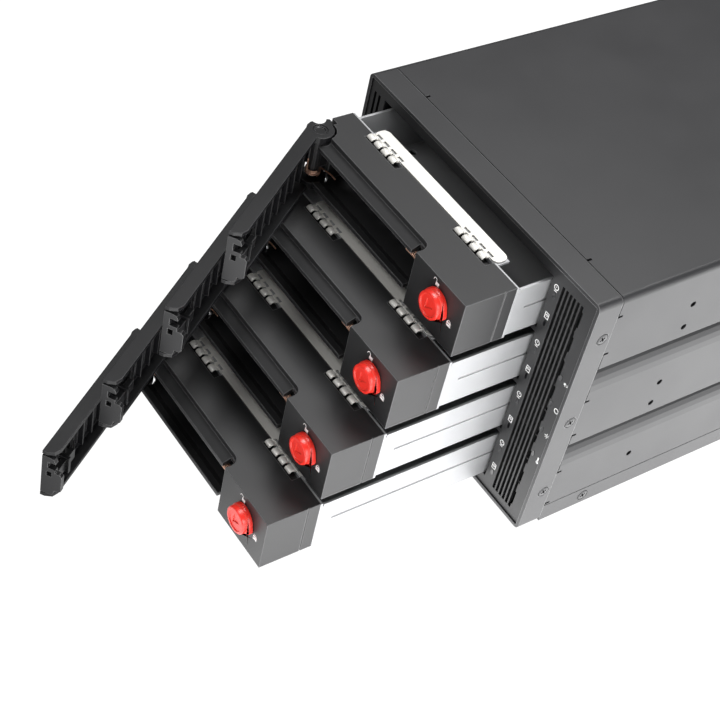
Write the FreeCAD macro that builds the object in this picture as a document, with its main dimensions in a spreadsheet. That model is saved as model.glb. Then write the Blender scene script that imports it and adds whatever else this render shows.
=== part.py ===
import FreeCAD, Part
import Sketcher
import os
import re

# Hot swap drive cage: four sliding drive trays in a steel box that fills three 5.25 inch bays.
# Millimetres. X to the right, Y to the back, Z up. The origin is in the middle of the base.
# Cage pieces are drawn with y = 0 on the front face of the bezel. Tray pieces are drawn with
# y = 0 on the front face of the tray's block and z = 0 under the tray. Door pieces are drawn
# shut, round the hinge axis. Each sub-part's Placement then carries it to its place.

doc = FreeCAD.newDocument("hot_swap_drive_cage")
V = FreeCAD.Vector

# ---------------------------------------------------------------------------
# Driving dimensions
# ---------------------------------------------------------------------------

CAGE = (
    ("cage_width", 146.0), ("cage_height", 124.3), ("cage_depth", 190.0),
    ("steel", 1.0), ("seam_gap", 0.15), ("seam_line", 0.4), ("fold_radius", 2.5),
    ("flange_height", 9.2), ("hem_height", 6.5), ("hem_stop", 10.0),
    ("bay_clear", 2.69), ("groove_bottom", 33.2), ("groove_rise", 12.8), ("groove_deep", 3.6),
    ("hole_column", 52.5), ("hole_step", 79.25), ("hole_low", 9.5), ("hole_rise", 11.93),
    ("hole_radius", 1.35), ("notch_long", 2.4), ("notch_high", 1.0),
    ("tab_half", 9.5), ("roof_tab_side", 22.0),
    ("bezel_deep", 11.2), ("bezel_wall", 1.6), ("bezel_lip", 4.0),
    ("screw_back", 7.3), ("screw_low", 20.2),
    ("head_radius", 2.7), ("head_deep", 1.4), ("shank_radius", 1.4), ("screw_long", 5.0),
    ("flange_screw_front", 33.2), ("flange_screw_rear", 40.0), ("flange_screw_up", 4.6),
)
FASCIA = (
    ("fascia_front", 0.6), ("fascia_thick", 2.2), ("fascia_rim", 2.0), ("fascia_rim_deep", 9.0),
    ("vent_pitch", 2.12), ("vent_slot", 1.4), ("vent_bottom", 5.5), ("vent_rib", 0.8),
    ("vent_bay", 0.6), ("vent_bays", 9.0),
    ("side_slot", 1.4), ("lamp_low", 4.6), ("lamp_rise", 13.8), ("lamp_radius", 0.6),
    ("lamp_long", 8.2), ("board_thick", 1.6), ("lamp_board_wide", 20.2), ("lamp_board_low", 5.8),
    ("lamp_board_edge", 3.6), ("post_radius", 1.1),
)
GUIDES = (
    ("slot_gap", 0.5), ("run_gap", 0.3), ("claw_room", 1.0),
    ("guide_front", 15.5), ("rail_wide", 3.4), ("rail_thick", 1.7), ("guide_foot", 6.0),
)
TRAY = (
    ("left_band", 12.6), ("right_band", 25.8), ("tray_floor", 7.2), ("head_band", 7.0),
    ("tray_gap", 3.1), ("first_out", 39.2), ("out_step", 22.8), ("block_deep", 23.5),
    ("pan_inset", 0.8), ("pan_drop", 2.4), ("pan_relief", 1.2), ("pan_chamfer", 5.0),
    ("rib_up", 11.9), ("rib_high", 1.4), ("rib_deep", 0.4), ("rib_start", 31.0),
    ("drive_hole_front", 29.5), ("drive_hole_step", 76.2), ("drive_hole_wide", 95.25),
    ("drive_hole_radius", 1.7),
    ("cavity_deep", 20.5), ("cavity_left", 8.4), ("side_line", 17.9), ("side_line_wide", 0.5),
    ("ledge_drop", 2.0), ("ledge_slope", 1.7), ("ledge_thick", 1.6), ("ledge_front", 2.3),
    ("ledge_end", 5.0), ("recess_radius", 4.0), ("front_wall", 2.4), ("inner_wall", 2.2),
    ("air_slot", 5.0), ("air_pitch", 8.0), ("air_low", 6.5), ("air_band", 6.7),
)
DOOR = (
    ("hinge_in", 4.2), ("hinge_back", 5.6), ("door_open", 55.6), ("door_face", 5.2),
    ("door_skin", 1.4), ("door_flange", 5.9), ("flange_thick", 1.6), ("door_gap", 0.5),
    ("knob_block", 30.6), ("knuckle_radius", 5.6), ("knuckle_high", 3.0),
    ("claw_reach", 8.9), ("boss_radius", 2.2), ("web_thick", 2.0),
    ("pin_radius", 1.5), ("pin_gap", 0.15), ("pin_head", 2.9), ("pin_head_high", 0.7),
    ("cell_first", 9.0), ("cell_slot", 2.0), ("cell_rib", 0.8),
    ("latch_travel", 2.2), ("latch_thick", 2.0), ("latch_drop", 2.6), ("latch_round", 2.0),
    ("hook_low", 5.2), ("hook_high", 9.8), ("hook_reach", 3.3),
    ("stem_long", 16.0), ("stem_low", 4.6), ("stem_high", 5.0),
    ("stem_thick", 2.2), ("stem_guide", 1.5), ("stem_guide_in", 10.3),
    ("hinge_coil", 2.5), ("hinge_wire", 0.8), ("hinge_coil_low", 3.9), ("hinge_coil_turns", 3.0),
    ("scallop_out", 5.6), ("scallop_front", 3.2), ("scallop_radius", 3.0),
)
LOCK = (
    ("knob_right", 13.9), ("knob_drop", 10.2), ("knob_radius", 6.2), ("knob_high", 4.0),
    ("knob_bevel", 0.6), ("arrow_deep", 0.7), ("arrow_size", 2.0),
    ("shaft_radius", 2.0), ("crank", 3.4), ("crank_pin", 1.2), ("crank_gap", 0.9),
    ("crank_arm", 2.0), ("bolt_thick", 1.6), ("bolt_tall", 4.0), ("tongue_low", -2.4),
    ("tongue_high", -0.4),
    ("peg_radius", 0.7), ("coil_radius", 0.9), ("coil_wire", 0.5), ("coil_turns", 9.0),
    ("coil_drop", 6.8), ("coil_back", 4.6),
    ("strip_in", 14.0), ("strip_end", 13.7), ("strip_wide", 6.5), ("strip_thick", 0.4),
    ("finger_wide", 3.9), ("finger_pitch", 4.75), ("finger_in", 1.9), ("finger_end", 20.1),
    ("finger_reach", 3.6), ("finger_well", 2.0),
)
REAR = (
    ("backplane_room", 14.0), ("backplane_edge", 4.2),
    ("socket_wide", 42.0), ("socket_in", 12.1), ("socket_high", 7.0),
    ("socket_deep", 9.5), ("socket_up", 3.2), ("socket_stop", 2.0), ("port_in", 22.5),
    ("port_wide", 15.5), ("port_high", 7.5), ("port_pitch", 13.0), ("port_drop", 2.15),
    ("port_deep", 12.6), ("power_first", 15.0), ("power_high", 11.5), ("power_pitch", 17.0),
    ("panel_flange", 8.0), ("panel_chamfer", 1.0),
    ("standoff_radius", 2.5), ("standoff_in", 7.0), ("port_gap", 0.4),
    ("fan_size", 80.0), ("fan_deep", 25.0), ("fan_centre", -8.0), ("fan_drop", 0.15),
    ("fan_flange", 4.0), ("duct_radius", 38.0), ("fan_pitch", 71.5), ("fan_hole", 2.15),
    ("motor_radius", 16.0), ("motor_thick", 3.0), ("strut_wide", 3.0),
    ("hub_radius", 15.5), ("hub_deep", 17.6), ("hub_front", 3.0), ("blade_tip", 36.6),
    ("blade_deep", 15.0), ("blade_sweep", 9.0), ("blade_thick", 1.4),
    ("twist_root", 0.75), ("twist_middle", 1.1), ("twist_tip", 1.3),
    ("fan_shaft", 1.5), ("shaft_gap", 0.3), ("guard_wire", 0.8), ("guard_step", 7.2),
)
# What follows from the driving dimensions: each name stands for its formula.
DERIVED = dict((
    ("bay_pitch", "(cage_height + bay_clear) / 3"),
    ("screw_mid", "bay_pitch + 18.67"), ("screw_high", "2 * bay_pitch + 21.14"),
    ("roof_tab_half", "cage_width / 2 - roof_tab_side"),
    ("tray_left", "left_band - cage_width / 2"),
    ("block_width", "cage_width - left_band - right_band"),
    ("tray_pitch", "(cage_height - tray_floor - head_band + tray_gap) / 4"),
    ("block_high", "tray_pitch - tray_gap"), ("pan_wall", "block_high - pan_drop"),
    ("vent_left", "tray_left + block_width + 6"), ("vent_top", "cage_height - 6.8"),
    ("lamp_column", "tray_left + block_width + 3.5"), ("state_column", "cage_width / 2 - 6.3"),
    ("lamp_board_left", "tray_left + block_width + 1.7"), ("lamp_board_high", "cage_height - 14.3"),
    ("side_slot_left", "4 - cage_width / 2"),
    ("backplane_front", "cage_depth - backplane_room"), ("guide_rear", "backplane_front - run_gap"),
    ("pan_long", "backplane_front - socket_deep - socket_stop - block_deep - steel"),
    ("socket_left", "tray_left + socket_in"), ("port_left", "cage_width / 2 - port_in"),
    ("port_first", "cage_height / 2 - port_drop"), ("fan_up", "cage_height / 2 - fan_drop"),
    ("air_high", "block_high - air_low - air_band"), ("latch_top", "block_high - latch_drop"),
    ("knob_up", "block_high - knob_drop"),
    ("coil_up", "block_high - coil_drop"), ("strip_left", "tray_left + strip_in"),
    ("strip_long", "block_width - strip_in - strip_end"), ("finger_left", "strip_left + finger_in"),
    ("finger_right", "strip_left + strip_long - finger_end"),
    ("door_long", "block_width - knob_block - hinge_in - door_gap"),
    ("skin_end", "door_long - latch_thick - latch_travel - 0.3"),
    ("cell_pitch", "(skin_end - cell_first) / 8"),
))
TRAYS = (1, 2, 3, 4)
BLADES = 7

sizes = doc.addObject("Spreadsheet::Sheet", "Sizes")
DIMENSIONS = CAGE + FASCIA + GUIDES + TRAY + DOOR + LOCK + REAR
for row, (alias, value) in enumerate(DIMENSIONS, 1):
    sizes.set("A%d" % row, alias)
    sizes.set("B%d" % row, str(value))
    sizes.setAlias("B%d" % row, alias)
doc.recompute()
ALIAS = re.compile(r"\b(%s)\b" % "|".join(alias for alias, value in DIMENSIONS))
FOLLOWS = re.compile(r"\b(%s)\b" % "|".join(DERIVED))
reader = doc.addObject("Part::Feature", "Reader")


def formula(text):
    """An expression in which each alias is looked up in the sheet."""
    text = str(text)
    while FOLLOWS.search(text):
        text = FOLLOWS.sub(lambda found: "(%s)" % DERIVED[found.group(1)], text)
    return ALIAS.sub(r"Sizes.\1", text)


def size(text):
    """The number that a formula gives now."""
    answer = reader.evalExpression(formula(text))
    return float(getattr(answer, "Value", answer))


def bind(thing, name, text):
    thing.setExpression(name, formula(text))


def at(thing, x="0", y="0", z="0"):
    """Bind an object's place to three formulas."""
    bind(thing, "Placement.Base.x", x)
    bind(thing, "Placement.Base.y", y)
    bind(thing, "Placement.Base.z", z)
    return thing


# ---------------------------------------------------------------------------
# Bound primitives, profiles and booleans
# ---------------------------------------------------------------------------

AXIS_TURN = {
    "x": FreeCAD.Rotation(V(0, 1, 0), 90),
    "y": FreeCAD.Rotation(V(1, 0, 0), -90),
    "z": FreeCAD.Rotation(),
}
# A profile's plane as the turn of its sketch, and the axis along which it is carried.
PLANES = {
    "xy": (FreeCAD.Rotation(), "z"),
    "yz": (FreeCAD.Rotation(V(0, 1, 0), V(0, 0, 1), V(1, 0, 0), "XYZ"), "x"),
    "xz": (FreeCAD.Rotation(V(1, 0, 0), V(0, 0, 1), V(0, -1, 0), "XYZ"), "y"),
}
AXES = {"x": V(1, 0, 0), "y": V(0, 1, 0), "z": V(0, 0, 1)}


def box(name, x, y, z):
    """A block between two formulas along each axis."""
    block = doc.addObject("Part::Box", name)
    bind(block, "Length", "(%s) - (%s)" % (x[1], x[0]))
    bind(block, "Width", "(%s) - (%s)" % (y[1], y[0]))
    bind(block, "Height", "(%s) - (%s)" % (z[1], z[0]))
    return at(block, x[0], y[0], z[0])


def rod(name, axis, radius, start, length):
    """A cylinder from a start point along +X, +Y or +Z."""
    bar = doc.addObject("Part::Cylinder", name)
    bar.Placement = FreeCAD.Placement(V(), AXIS_TURN[axis])
    bind(bar, "Radius", radius)
    bind(bar, "Height", length)
    return at(bar, *start)


def facets(name, axis, sides, radius, start, length):
    """A many-sided rod from a start point along +X, +Y or +Z."""
    bar = doc.addObject("Part::Prism", name)
    bar.Placement = FreeCAD.Placement(V(), AXIS_TURN[axis])
    bar.Polygon = sides
    bind(bar, "Circumradius", radius)
    bind(bar, "Height", length)
    return at(bar, *start)


def cone(name, axis, radii, start, length):
    """A taper from the first radius at its start to the second at its end."""
    taper = doc.addObject("Part::Cone", name)
    taper.Placement = FreeCAD.Placement(V(), AXIS_TURN[axis])
    bind(taper, "Radius1", radii[0])
    bind(taper, "Radius2", radii[1])
    bind(taper, "Height", length)
    return at(taper, *start)


def draw(sketch, corners):
    """Draw a closed outline of straight lines whose corners are pairs of formulas."""
    places = [V(size(u), size(w), 0) for u, w in corners]
    count = len(corners)
    for i in range(count):
        sketch.addGeometry(Part.LineSegment(places[i], places[(i + 1) % count]), False)
    for i in range(count):
        sketch.addConstraint(Sketcher.Constraint("Coincident", i, 2, (i + 1) % count, 1))
    for i, (u, w) in enumerate(corners):
        for kind, text, place in (("DistanceX", u, places[i].x), ("DistanceY", w, places[i].y)):
            number = sketch.addConstraint(Sketcher.Constraint(kind, -1, 1, i, 1, place))
            bind(sketch, "Constraints[%d]" % number, text)


def prism(name, plane, corners, start, end):
    """An outline carried along the axis at right angles to its plane, between two formulas."""
    turn, along = PLANES[plane]
    sketch = doc.addObject("Sketcher::SketchObject", name + "_profile")
    sketch.Placement = FreeCAD.Placement(V(), turn)
    draw(sketch, corners)
    bind(sketch, "Placement.Base." + along, start)
    body = doc.addObject("Part::Extrusion", name)
    body.Base = sketch
    body.DirMode = "Custom"
    body.Dir = AXES[along]
    bind(body, "LengthFwd", "(%s) - (%s)" % (end, start))
    body.Solid = True
    return body


def fuse(name, *shapes):
    joined = doc.addObject("Part::MultiFuse", name)
    joined.Shapes = list(shapes)
    joined.Refine = True
    return joined


def cut(name, base, *tools):
    tool = tools[0] if len(tools) == 1 else group(name + "_tools", *tools)
    carved = doc.addObject("Part::Cut", name)
    carved.Base = base
    carved.Tool = tool
    carved.Refine = True
    return carved


def group(name, *shapes):
    """Separate solids that are handled as one."""
    bunch = doc.addObject("Part::Compound", name)
    bunch.Links = list(shapes)
    return bunch


def rounded(name, base, radius, wanted):
    """Round the straight edges for which wanted(middle, direction) is true."""
    doc.recompute()
    chosen = []
    for number, edge in enumerate(base.Shape.Edges, 1):
        if len(edge.Vertexes) == 2:
            run = edge.Vertexes[1].Point.sub(edge.Vertexes[0].Point)
            run.normalize()
            if wanted(edge.CenterOfMass, run):
                chosen.append((number, size(radius), size(radius)))
    smooth = doc.addObject("Part::Fillet", name)
    smooth.Base = base
    smooth.Edges = chosen
    return smooth


def turned(name, form, axis, angle):
    """A form turned about an axis through the origin."""
    bunch = group(name, form)
    bunch.Placement = FreeCAD.Placement(V(), FreeCAD.Rotation(AXES[axis], angle))
    return bunch


SUBPARTS = []


def subpart(label, form, x="0", y="-cage_depth / 2", z="0", turn="0"):
    """One named piece: a form at its place in the assembly."""
    piece = doc.addObject("Part::Compound", label)
    piece.Label = label
    piece.Links = [form]
    piece.Placement = FreeCAD.Placement(V(), FreeCAD.Rotation(V(0, 0, 1), 0))
    at(piece, x, y, z)
    if turn != "0":
        bind(piece, "Placement.Rotation.Angle", turn)
    SUBPARTS.append(piece)
    return piece


def floor_of(tray):
    """The height of a tray's underside. Tray 1 is at the top."""
    return "(tray_floor + %d * tray_pitch)" % (len(TRAYS) - tray)


# ---------------------------------------------------------------------------
# Outer shell: one sheet folded over the roof and both sides. A groove is pressed in at each
# bay boundary, to clear the shelf tabs of a computer case, and the hem tucks into the base.
# ---------------------------------------------------------------------------

HALF = "cage_width / 2"
BAYS = (0, 1, 2)


GROOVE = ((0, 0), (0.25, 0.06), (0.45, 0.22), (0.6, 0.5), (0.7, 0.85), (0.75, 1), (0.86, 1), (1, 0))


def grooved(sign, inset):
    """The pressed grooves of one side from the lowest up, moved in by a thickness."""
    return [("%d * (%s - (%s)) - %s * groove_deep" % (sign, HALF, inset, sign * deep),
             "groove_bottom + %d * bay_pitch + %s * groove_rise" % (bay, rise))
            for bay in BAYS[:-1] for rise, deep in GROOVE]


def side_line(sign, inset):
    """One side of the folded sheet from hem to roof, moved in by a thickness."""
    face = "%d * (%s - %s)" % (sign, HALF, inset)
    hem = "%d * (%s - %s - steel - seam_gap)" % (sign, HALF, inset)
    bottom = "flange_height - hem_height - %s" % inset
    joggle = "flange_height + seam_line + %s" % inset
    start = [(hem, bottom), (hem, joggle), (face, joggle)]
    return start + grooved(sign, inset) + [(face, "cage_height - %s" % inset)]


def roof_fold(middle, run):
    return abs(run.y) > 0.99 and middle.z > size("cage_height - 2 * steel")


def folded(name, inset, start, end):
    outline = side_line(1, inset) + side_line(-1, inset)[::-1]
    block = prism(name, "xz", outline, start, end)
    return rounded(name + "_folds", block, "fold_radius - %s" % inset, roof_fold)


def side_holes(name, radius):
    """The drive bay screw holes, in two columns through both sides."""
    holes = []
    for bay in BAYS:
        for rise in (0, 1):
            if bay + rise > 0:
                up = "hole_low + %d * bay_pitch + %d * hole_rise" % (bay, rise)
                for column in (0, 1):
                    back = "hole_column + %d * hole_step" % column
                    tag = "%s_%d%d%d" % (name, bay, rise, column)
                    holes.append(rod(tag, "x", radius, ("-%s - 1" % HALF, back, up), "cage_width + 2"))
    return holes


def seam_notches():
    """Reliefs at both ends of each tab behind the bezel, and the open seam between the tabs."""
    cuts = []
    seam = ("bezel_deep - 1", "bezel_deep + seam_line")
    ends = ["-1"]
    for screw in ("screw_low", "screw_mid", "screw_high"):
        ends += [screw + " - tab_half", screw + " + tab_half"]
    ends.append("cage_height + 1")
    for number in range(4):
        cuts.append(box("side_seam_%d" % number, ("-%s - 1" % HALF, HALF + " + 1"), seam,
                        (ends[2 * number], ends[2 * number + 1])))
    for number, screw in enumerate(("screw_low", "screw_mid", "screw_high")):
        for sign in (-1, 1):
            up = "%s + %d * tab_half" % (screw, sign)
            cuts.append(box("side_notch_%d%d" % (number, sign + 1), ("-%s - 1" % HALF, HALF + " + 1"),
                            ("bezel_deep - 1", "bezel_deep + notch_long"),
                            (up + " - notch_high / 2", up + " + notch_high / 2")))
    for sign in (-1, 1):
        across = "%d * roof_tab_half" % sign
        corner = (across, HALF + " + 1") if sign > 0 else ("-%s - 1" % HALF, across)
        cuts.append(box("roof_seam_%d" % (sign + 1), corner, seam,
                        ("cage_height - 4 * steel", "cage_height + 1")))
        cuts.append(box("roof_notch_%d" % (sign + 1),
                        (across + " - notch_high / 2", across + " + notch_high / 2"),
                        ("bezel_deep - 1", "bezel_deep + notch_long"),
                        ("cage_height - 2 * steel", "cage_height + 1")))
    return cuts


sheet = cut("shell_sheet", folded("shell_outside", "0", "bezel_deep", "cage_depth"),
            folded("shell_inside", "steel", "bezel_deep - 1", "cage_depth + 1"))
hem_stop = box("hem_stop", ("-%s - 1" % HALF, HALF + " + 1"),
               ("cage_depth - hem_stop", "cage_depth + 1"),
               ("-1", "flange_height + seam_line + steel"))


def side_screw(name, sign, back, up, grow):
    """A countersunk screw, or with grow its hole, driven in from one side."""
    outside = "%d * %s" % (sign, HALF)
    if sign > 0:
        ends = ("shank_radius + %s" % grow, "head_radius + %s" % grow)
        head_at = HALF + " - head_deep"
        shank_at = HALF + " - screw_long"
    else:
        ends = ("head_radius + %s" % grow, "shank_radius + %s" % grow)
        head_at = outside
        shank_at = outside + " + head_deep"
    head = cone(name + "_head", "x", ends, (head_at, back, up), "head_deep")
    shank = facets(name + "_shank", "x", 8, "shank_radius + %s" % grow, (shank_at, back, up),
                   "screw_long - head_deep")
    return fuse(name, head, shank)


def screw_row(name, places, grow):
    """Screws at pairs of formulas, how far back and how high, on both sides."""
    row = []
    for sign in (-1, 1):
        for number, (back, up) in enumerate(places):
            row.append(side_screw("%s_%d%d" % (name, sign + 1, number), sign, back, up, grow))
    return row


BEZEL_SCREWS = [("screw_back", up) for up in ("screw_low", "screw_mid", "screw_high")]
BASE_SCREWS = [(back, "flange_screw_up") for back in ("flange_screw_front", "cage_depth - flange_screw_rear")]

subpart("outer_shell", cut("shell_form", sheet, hem_stop, *(
    side_holes("bay_hole", "hole_radius") + seam_notches() + screw_row("shell_pilot", BASE_SCREWS, "0.1"))))

# ---------------------------------------------------------------------------
# Base plate with its upturned flanges, and the bezel ring with the tabs that carry the shell
# ---------------------------------------------------------------------------

base_outline = [("-" + HALF, "0"), (HALF, "0"), (HALF, "flange_height"),
                (HALF + " - steel", "flange_height"), (HALF + " - steel", "steel"),
                ("-%s + steel" % HALF, "steel"), ("-%s + steel" % HALF, "flange_height"),
                ("-" + HALF, "flange_height")]
base_sheet = prism("base_sheet", "xz", base_outline, "bezel_deep", "cage_depth")
subpart("base_plate", cut("base_form", base_sheet, *screw_row("base_hole", BASE_SCREWS, "0.1")))

bezel_block = rounded("bezel_folds", box("bezel_block", ("-" + HALF, HALF), ("0", "bezel_deep"),
                                         ("0", "cage_height")), "fold_radius",
                      lambda middle, run: abs(run.y) > 0.99)
bezel_hole = box("bezel_hole", ("-%s + bezel_wall" % HALF, HALF + " - bezel_wall"),
                 ("-1", "bezel_deep + 1"), ("bezel_wall", "cage_height - bezel_wall"))
bezel_ring = cut("bezel_ring", bezel_block, bezel_hole)
tabs = []
for number, screw in enumerate(("screw_low", "screw_mid", "screw_high")):
    for sign in (-1, 1):
        inner = "%d * (%s - steel - seam_gap) - %d * steel" % (sign, HALF, (sign + 1) // 2)
        tabs.append(box("side_tab_%d%d" % (number, sign + 1), (inner, inner + " + steel"),
                        ("bezel_deep - 2", "bezel_deep + bezel_lip"),
                        (screw + " - tab_half + notch_high", screw + " + tab_half - notch_high")))
tabs.append(box("roof_tab", ("notch_high - roof_tab_half", "roof_tab_half - notch_high"),
                ("bezel_deep - 2", "bezel_deep + bezel_lip"),
                ("cage_height - 2 * steel - seam_gap", "cage_height - steel - seam_gap")))
tabs.append(box("base_tab", ("-roof_tab_half", "roof_tab_half"),
                ("bezel_deep - 2", "bezel_deep + bezel_lip"),
                ("steel", "2 * steel")))
subpart("bezel_frame", cut("bezel_form", fuse("bezel_tabbed", bezel_ring, *tabs),
                           *screw_row("bezel_hole", BEZEL_SCREWS, "0.1")))
subpart("bezel_screws", group("bezel_screw_set", *screw_row("bezel_screw", BEZEL_SCREWS, "0")))
subpart("base_screws", group("base_screw_set", *screw_row("base_screw", BASE_SCREWS, "0")))

# ---------------------------------------------------------------------------
# Fascia: moulded panel with four tray openings, a louvred vent and rows of lamp holes
# ---------------------------------------------------------------------------

BACK_OF_FASCIA = "fascia_front + fascia_thick"
EDGE = HALF + " - bezel_wall - seam_gap"
SLOT_LEFT = "tray_left - claw_room - slot_gap"
SLOT_RIGHT = "tray_left + block_width + slot_gap"
fascia_plate = box("fascia_plate", ("-(%s)" % EDGE, EDGE), ("fascia_front", "fascia_rim_deep"),
                   ("bezel_wall + seam_gap", "cage_height - bezel_wall - seam_gap"))
fascia_back = box("fascia_back", ("-(%s) + fascia_rim" % EDGE, EDGE + " - fascia_rim"),
                  (BACK_OF_FASCIA, "fascia_rim_deep + 1"),
                  ("bezel_wall + seam_gap + fascia_rim", "cage_height - bezel_wall - seam_gap - fascia_rim"))


def lamp_places():
    """Across and up for every lamp: two for each tray and four for the cage."""
    places = []
    for tray in TRAYS:
        for row in (0, 1):
            up = "%s + lamp_low + %d * lamp_rise" % (floor_of(tray), row)
            places.append(("lamp_column", up))
            if tray in (2, 3):
                places.append(("state_column", up))
    return places


openings = []
for tray in TRAYS:
    openings.append(box("tray_opening_%d" % tray, (SLOT_LEFT, SLOT_RIGHT), ("-1", "fascia_rim_deep + 2"),
                        (floor_of(tray) + " - slot_gap", floor_of(tray) + " + block_high + slot_gap")))
for column in range(6):
    left = "vent_left + %d * vent_pitch" % column
    openings.append(box("vent_slot_%d" % column, (left, left + " + vent_slot"), ("-1", "fascia_rim_deep"),
                        ("vent_bottom", "vent_top")))
for number in range(9):
    low = "vent_bottom + (%d + 0.2) * (vent_top - vent_bottom) / vent_bays" % number
    openings.append(box("vent_bay_%d" % number,
                        ("vent_left + 5 * vent_pitch", "vent_left + 5 * vent_pitch + vent_slot + vent_bay"),
                        ("-1", "fascia_rim_deep"), (low, low + " + 0.6 * (vent_top - vent_bottom) / vent_bays")))
for column in (0, 1):
    left = "side_slot_left + %d * 2 * side_slot" % column
    openings.append(box("side_slot_%d" % column, (left, left + " + side_slot"), ("-1", "fascia_rim_deep"),
                        ("vent_bottom + 2", "vent_top")))
for number, (across, up) in enumerate(lamp_places()):
    openings.append(facets("lamp_hole_%d" % number, "y", 8, "lamp_radius", (across, "-1", up), "fascia_rim_deep"))
pilots = [facets("fascia_pilot_%d" % number, "x", 8, "shank_radius + 0.1", ("-%s" % HALF, back, up), "cage_width")
          for number, (back, up) in enumerate(BEZEL_SCREWS)]
fascia_open = cut("fascia_open", fascia_plate, fascia_back, *(openings + pilots))
stiffeners = []
for number in range(1, 8):
    up = "vent_bottom + %d * (vent_top - vent_bottom) / 8" % number
    stiffeners.append(box("vent_rib_%d" % number,
                          ("vent_left - vent_slot / 2", "vent_left + 6 * vent_pitch"),
                          (BACK_OF_FASCIA + " - vent_rib", BACK_OF_FASCIA + " + vent_rib"),
                          (up + " - vent_rib / 2", up + " + vent_rib / 2")))
BOARD_FRONT = "fascia_front + 0.2 + lamp_long"
for number in range(4):
    across = ("lamp_board_left + lamp_board_edge / 2", "lamp_board_left + lamp_board_wide - lamp_board_edge / 2")
    up = ("lamp_board_low + lamp_board_edge / 2", "lamp_board_low + lamp_board_high - lamp_board_edge / 2")
    stiffeners.append(facets("board_post_%d" % number, "y", 8, "post_radius",
                             (across[number % 2], BACK_OF_FASCIA, up[number // 2]),
                             "%s - (%s)" % (BOARD_FRONT, BACK_OF_FASCIA)))
subpart("fascia_panel", fuse("fascia_form", fascia_open, *stiffeners))

light_pipes = [facets("light_pipe_%d" % number, "y", 8, "lamp_radius - 0.1",
                      (across, "fascia_front + 0.2", up), "lamp_long")
               for number, (across, up) in enumerate(lamp_places())]
subpart("light_pipes", group("light_pipe_set", *light_pipes))
lamp_plate = box("lamp_plate", ("lamp_board_left", "lamp_board_left + lamp_board_wide"),
                 (BOARD_FRONT, BOARD_FRONT + " + board_thick"),
                 ("lamp_board_low", "lamp_board_low + lamp_board_high"))
lamp_window = box("lamp_window",
                  ("lamp_board_left + lamp_board_edge", "lamp_board_left + lamp_board_wide - lamp_board_edge"),
                  ("0", BOARD_FRONT + " + 3"),
                  ("lamp_board_low + lamp_board_edge", "lamp_board_low + lamp_board_high - lamp_board_edge"))
subpart("lamp_board", cut("lamp_board_form", lamp_plate, lamp_window))

# ---------------------------------------------------------------------------
# Guides: a plate on each side of the trays with a foot, a top flange and four rails
# ---------------------------------------------------------------------------


def guide(name, wall, foot, rail):
    """A guide from three pairs of formulas across: its wall, its flanges and its rails."""
    span = ("guide_front", "guide_rear")
    solids = [box(name + "_wall", wall, span, ("steel", "cage_height - steel")),
              box(name + "_foot", foot, span, ("steel", "2 * steel")),
              box(name + "_top", foot, span, ("cage_height - 2 * steel", "cage_height - steel"))]
    for tray in TRAYS:
        top = floor_of(tray) + " - run_gap"
        solids.append(box("%s_rail_%d" % (name, tray), rail, span, (top + " - rail_thick", top)))
    return fuse(name, *solids)


subpart("left_guide", guide("left_guide_form", (SLOT_LEFT + " - steel", SLOT_LEFT),
                            (SLOT_LEFT + " - guide_foot", SLOT_LEFT), (SLOT_LEFT, SLOT_LEFT + " + rail_wide")))
subpart("right_guide", guide("right_guide_form", (SLOT_RIGHT, SLOT_RIGHT + " + steel"),
                             (SLOT_RIGHT, SLOT_RIGHT + " + guide_foot"),
                             (SLOT_RIGHT + " - rail_wide", SLOT_RIGHT)))

# ---------------------------------------------------------------------------
# Backplane, its sockets and ports, and the rear panel that carries it
# ---------------------------------------------------------------------------

BOARD_BACK = "backplane_front + board_thick"
PANEL_EDGE = HALF + " - steel - seam_gap"
board = box("backplane_sheet", ("backplane_edge - (%s)" % PANEL_EDGE, PANEL_EDGE + " - backplane_edge"),
            ("backplane_front", BOARD_BACK), ("backplane_edge", "cage_height - backplane_edge"))
windows = [box("air_window_%d" % tray, ("socket_left", "socket_left + 2 * socket_wide"),
               ("backplane_front - 1", BOARD_BACK + " + 1"),
               (floor_of(tray) + " + socket_up + socket_high + 2", floor_of(tray) + " + block_high"))
           for tray in TRAYS]
subpart("backplane_board", cut("backplane_form", board, *windows))


def connector(name, left, wide, low, high, front, deep, mouth):
    """A moulded connector with a slot in one end and a contact tongue in the slot."""
    body = box(name + "_body", (left, "%s + %s" % (left, wide)), (front, "%s + %s" % (front, deep)),
               (low, "%s + %s" % (low, high)))
    ends = {"front": (front + " - 1", "%s + %s - 3" % (front, deep)),
            "rear": (front + " + 3", "%s + %s + 1" % (front, deep))}[mouth]
    slot = box(name + "_slot", (left + " + 1.5", "%s + %s - 1.5" % (left, wide)), ends,
               (low + " + 1.6", "%s + %s - 1.6" % (low, high)))
    tongue_ends = {"front": (front + " + 1", "%s + %s - 2" % (front, deep)),
                   "rear": (front + " + 2", "%s + %s - 1" % (front, deep))}[mouth]
    tongue = box(name + "_tongue", (left + " + 3", "%s + %s - 3" % (left, wide)), tongue_ends,
                 ("%s + %s / 2 - 0.6" % (low, high), "%s + %s / 2 + 0.6" % (low, high)))
    return fuse(name, cut(name + "_open", body, slot), tongue)


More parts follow.
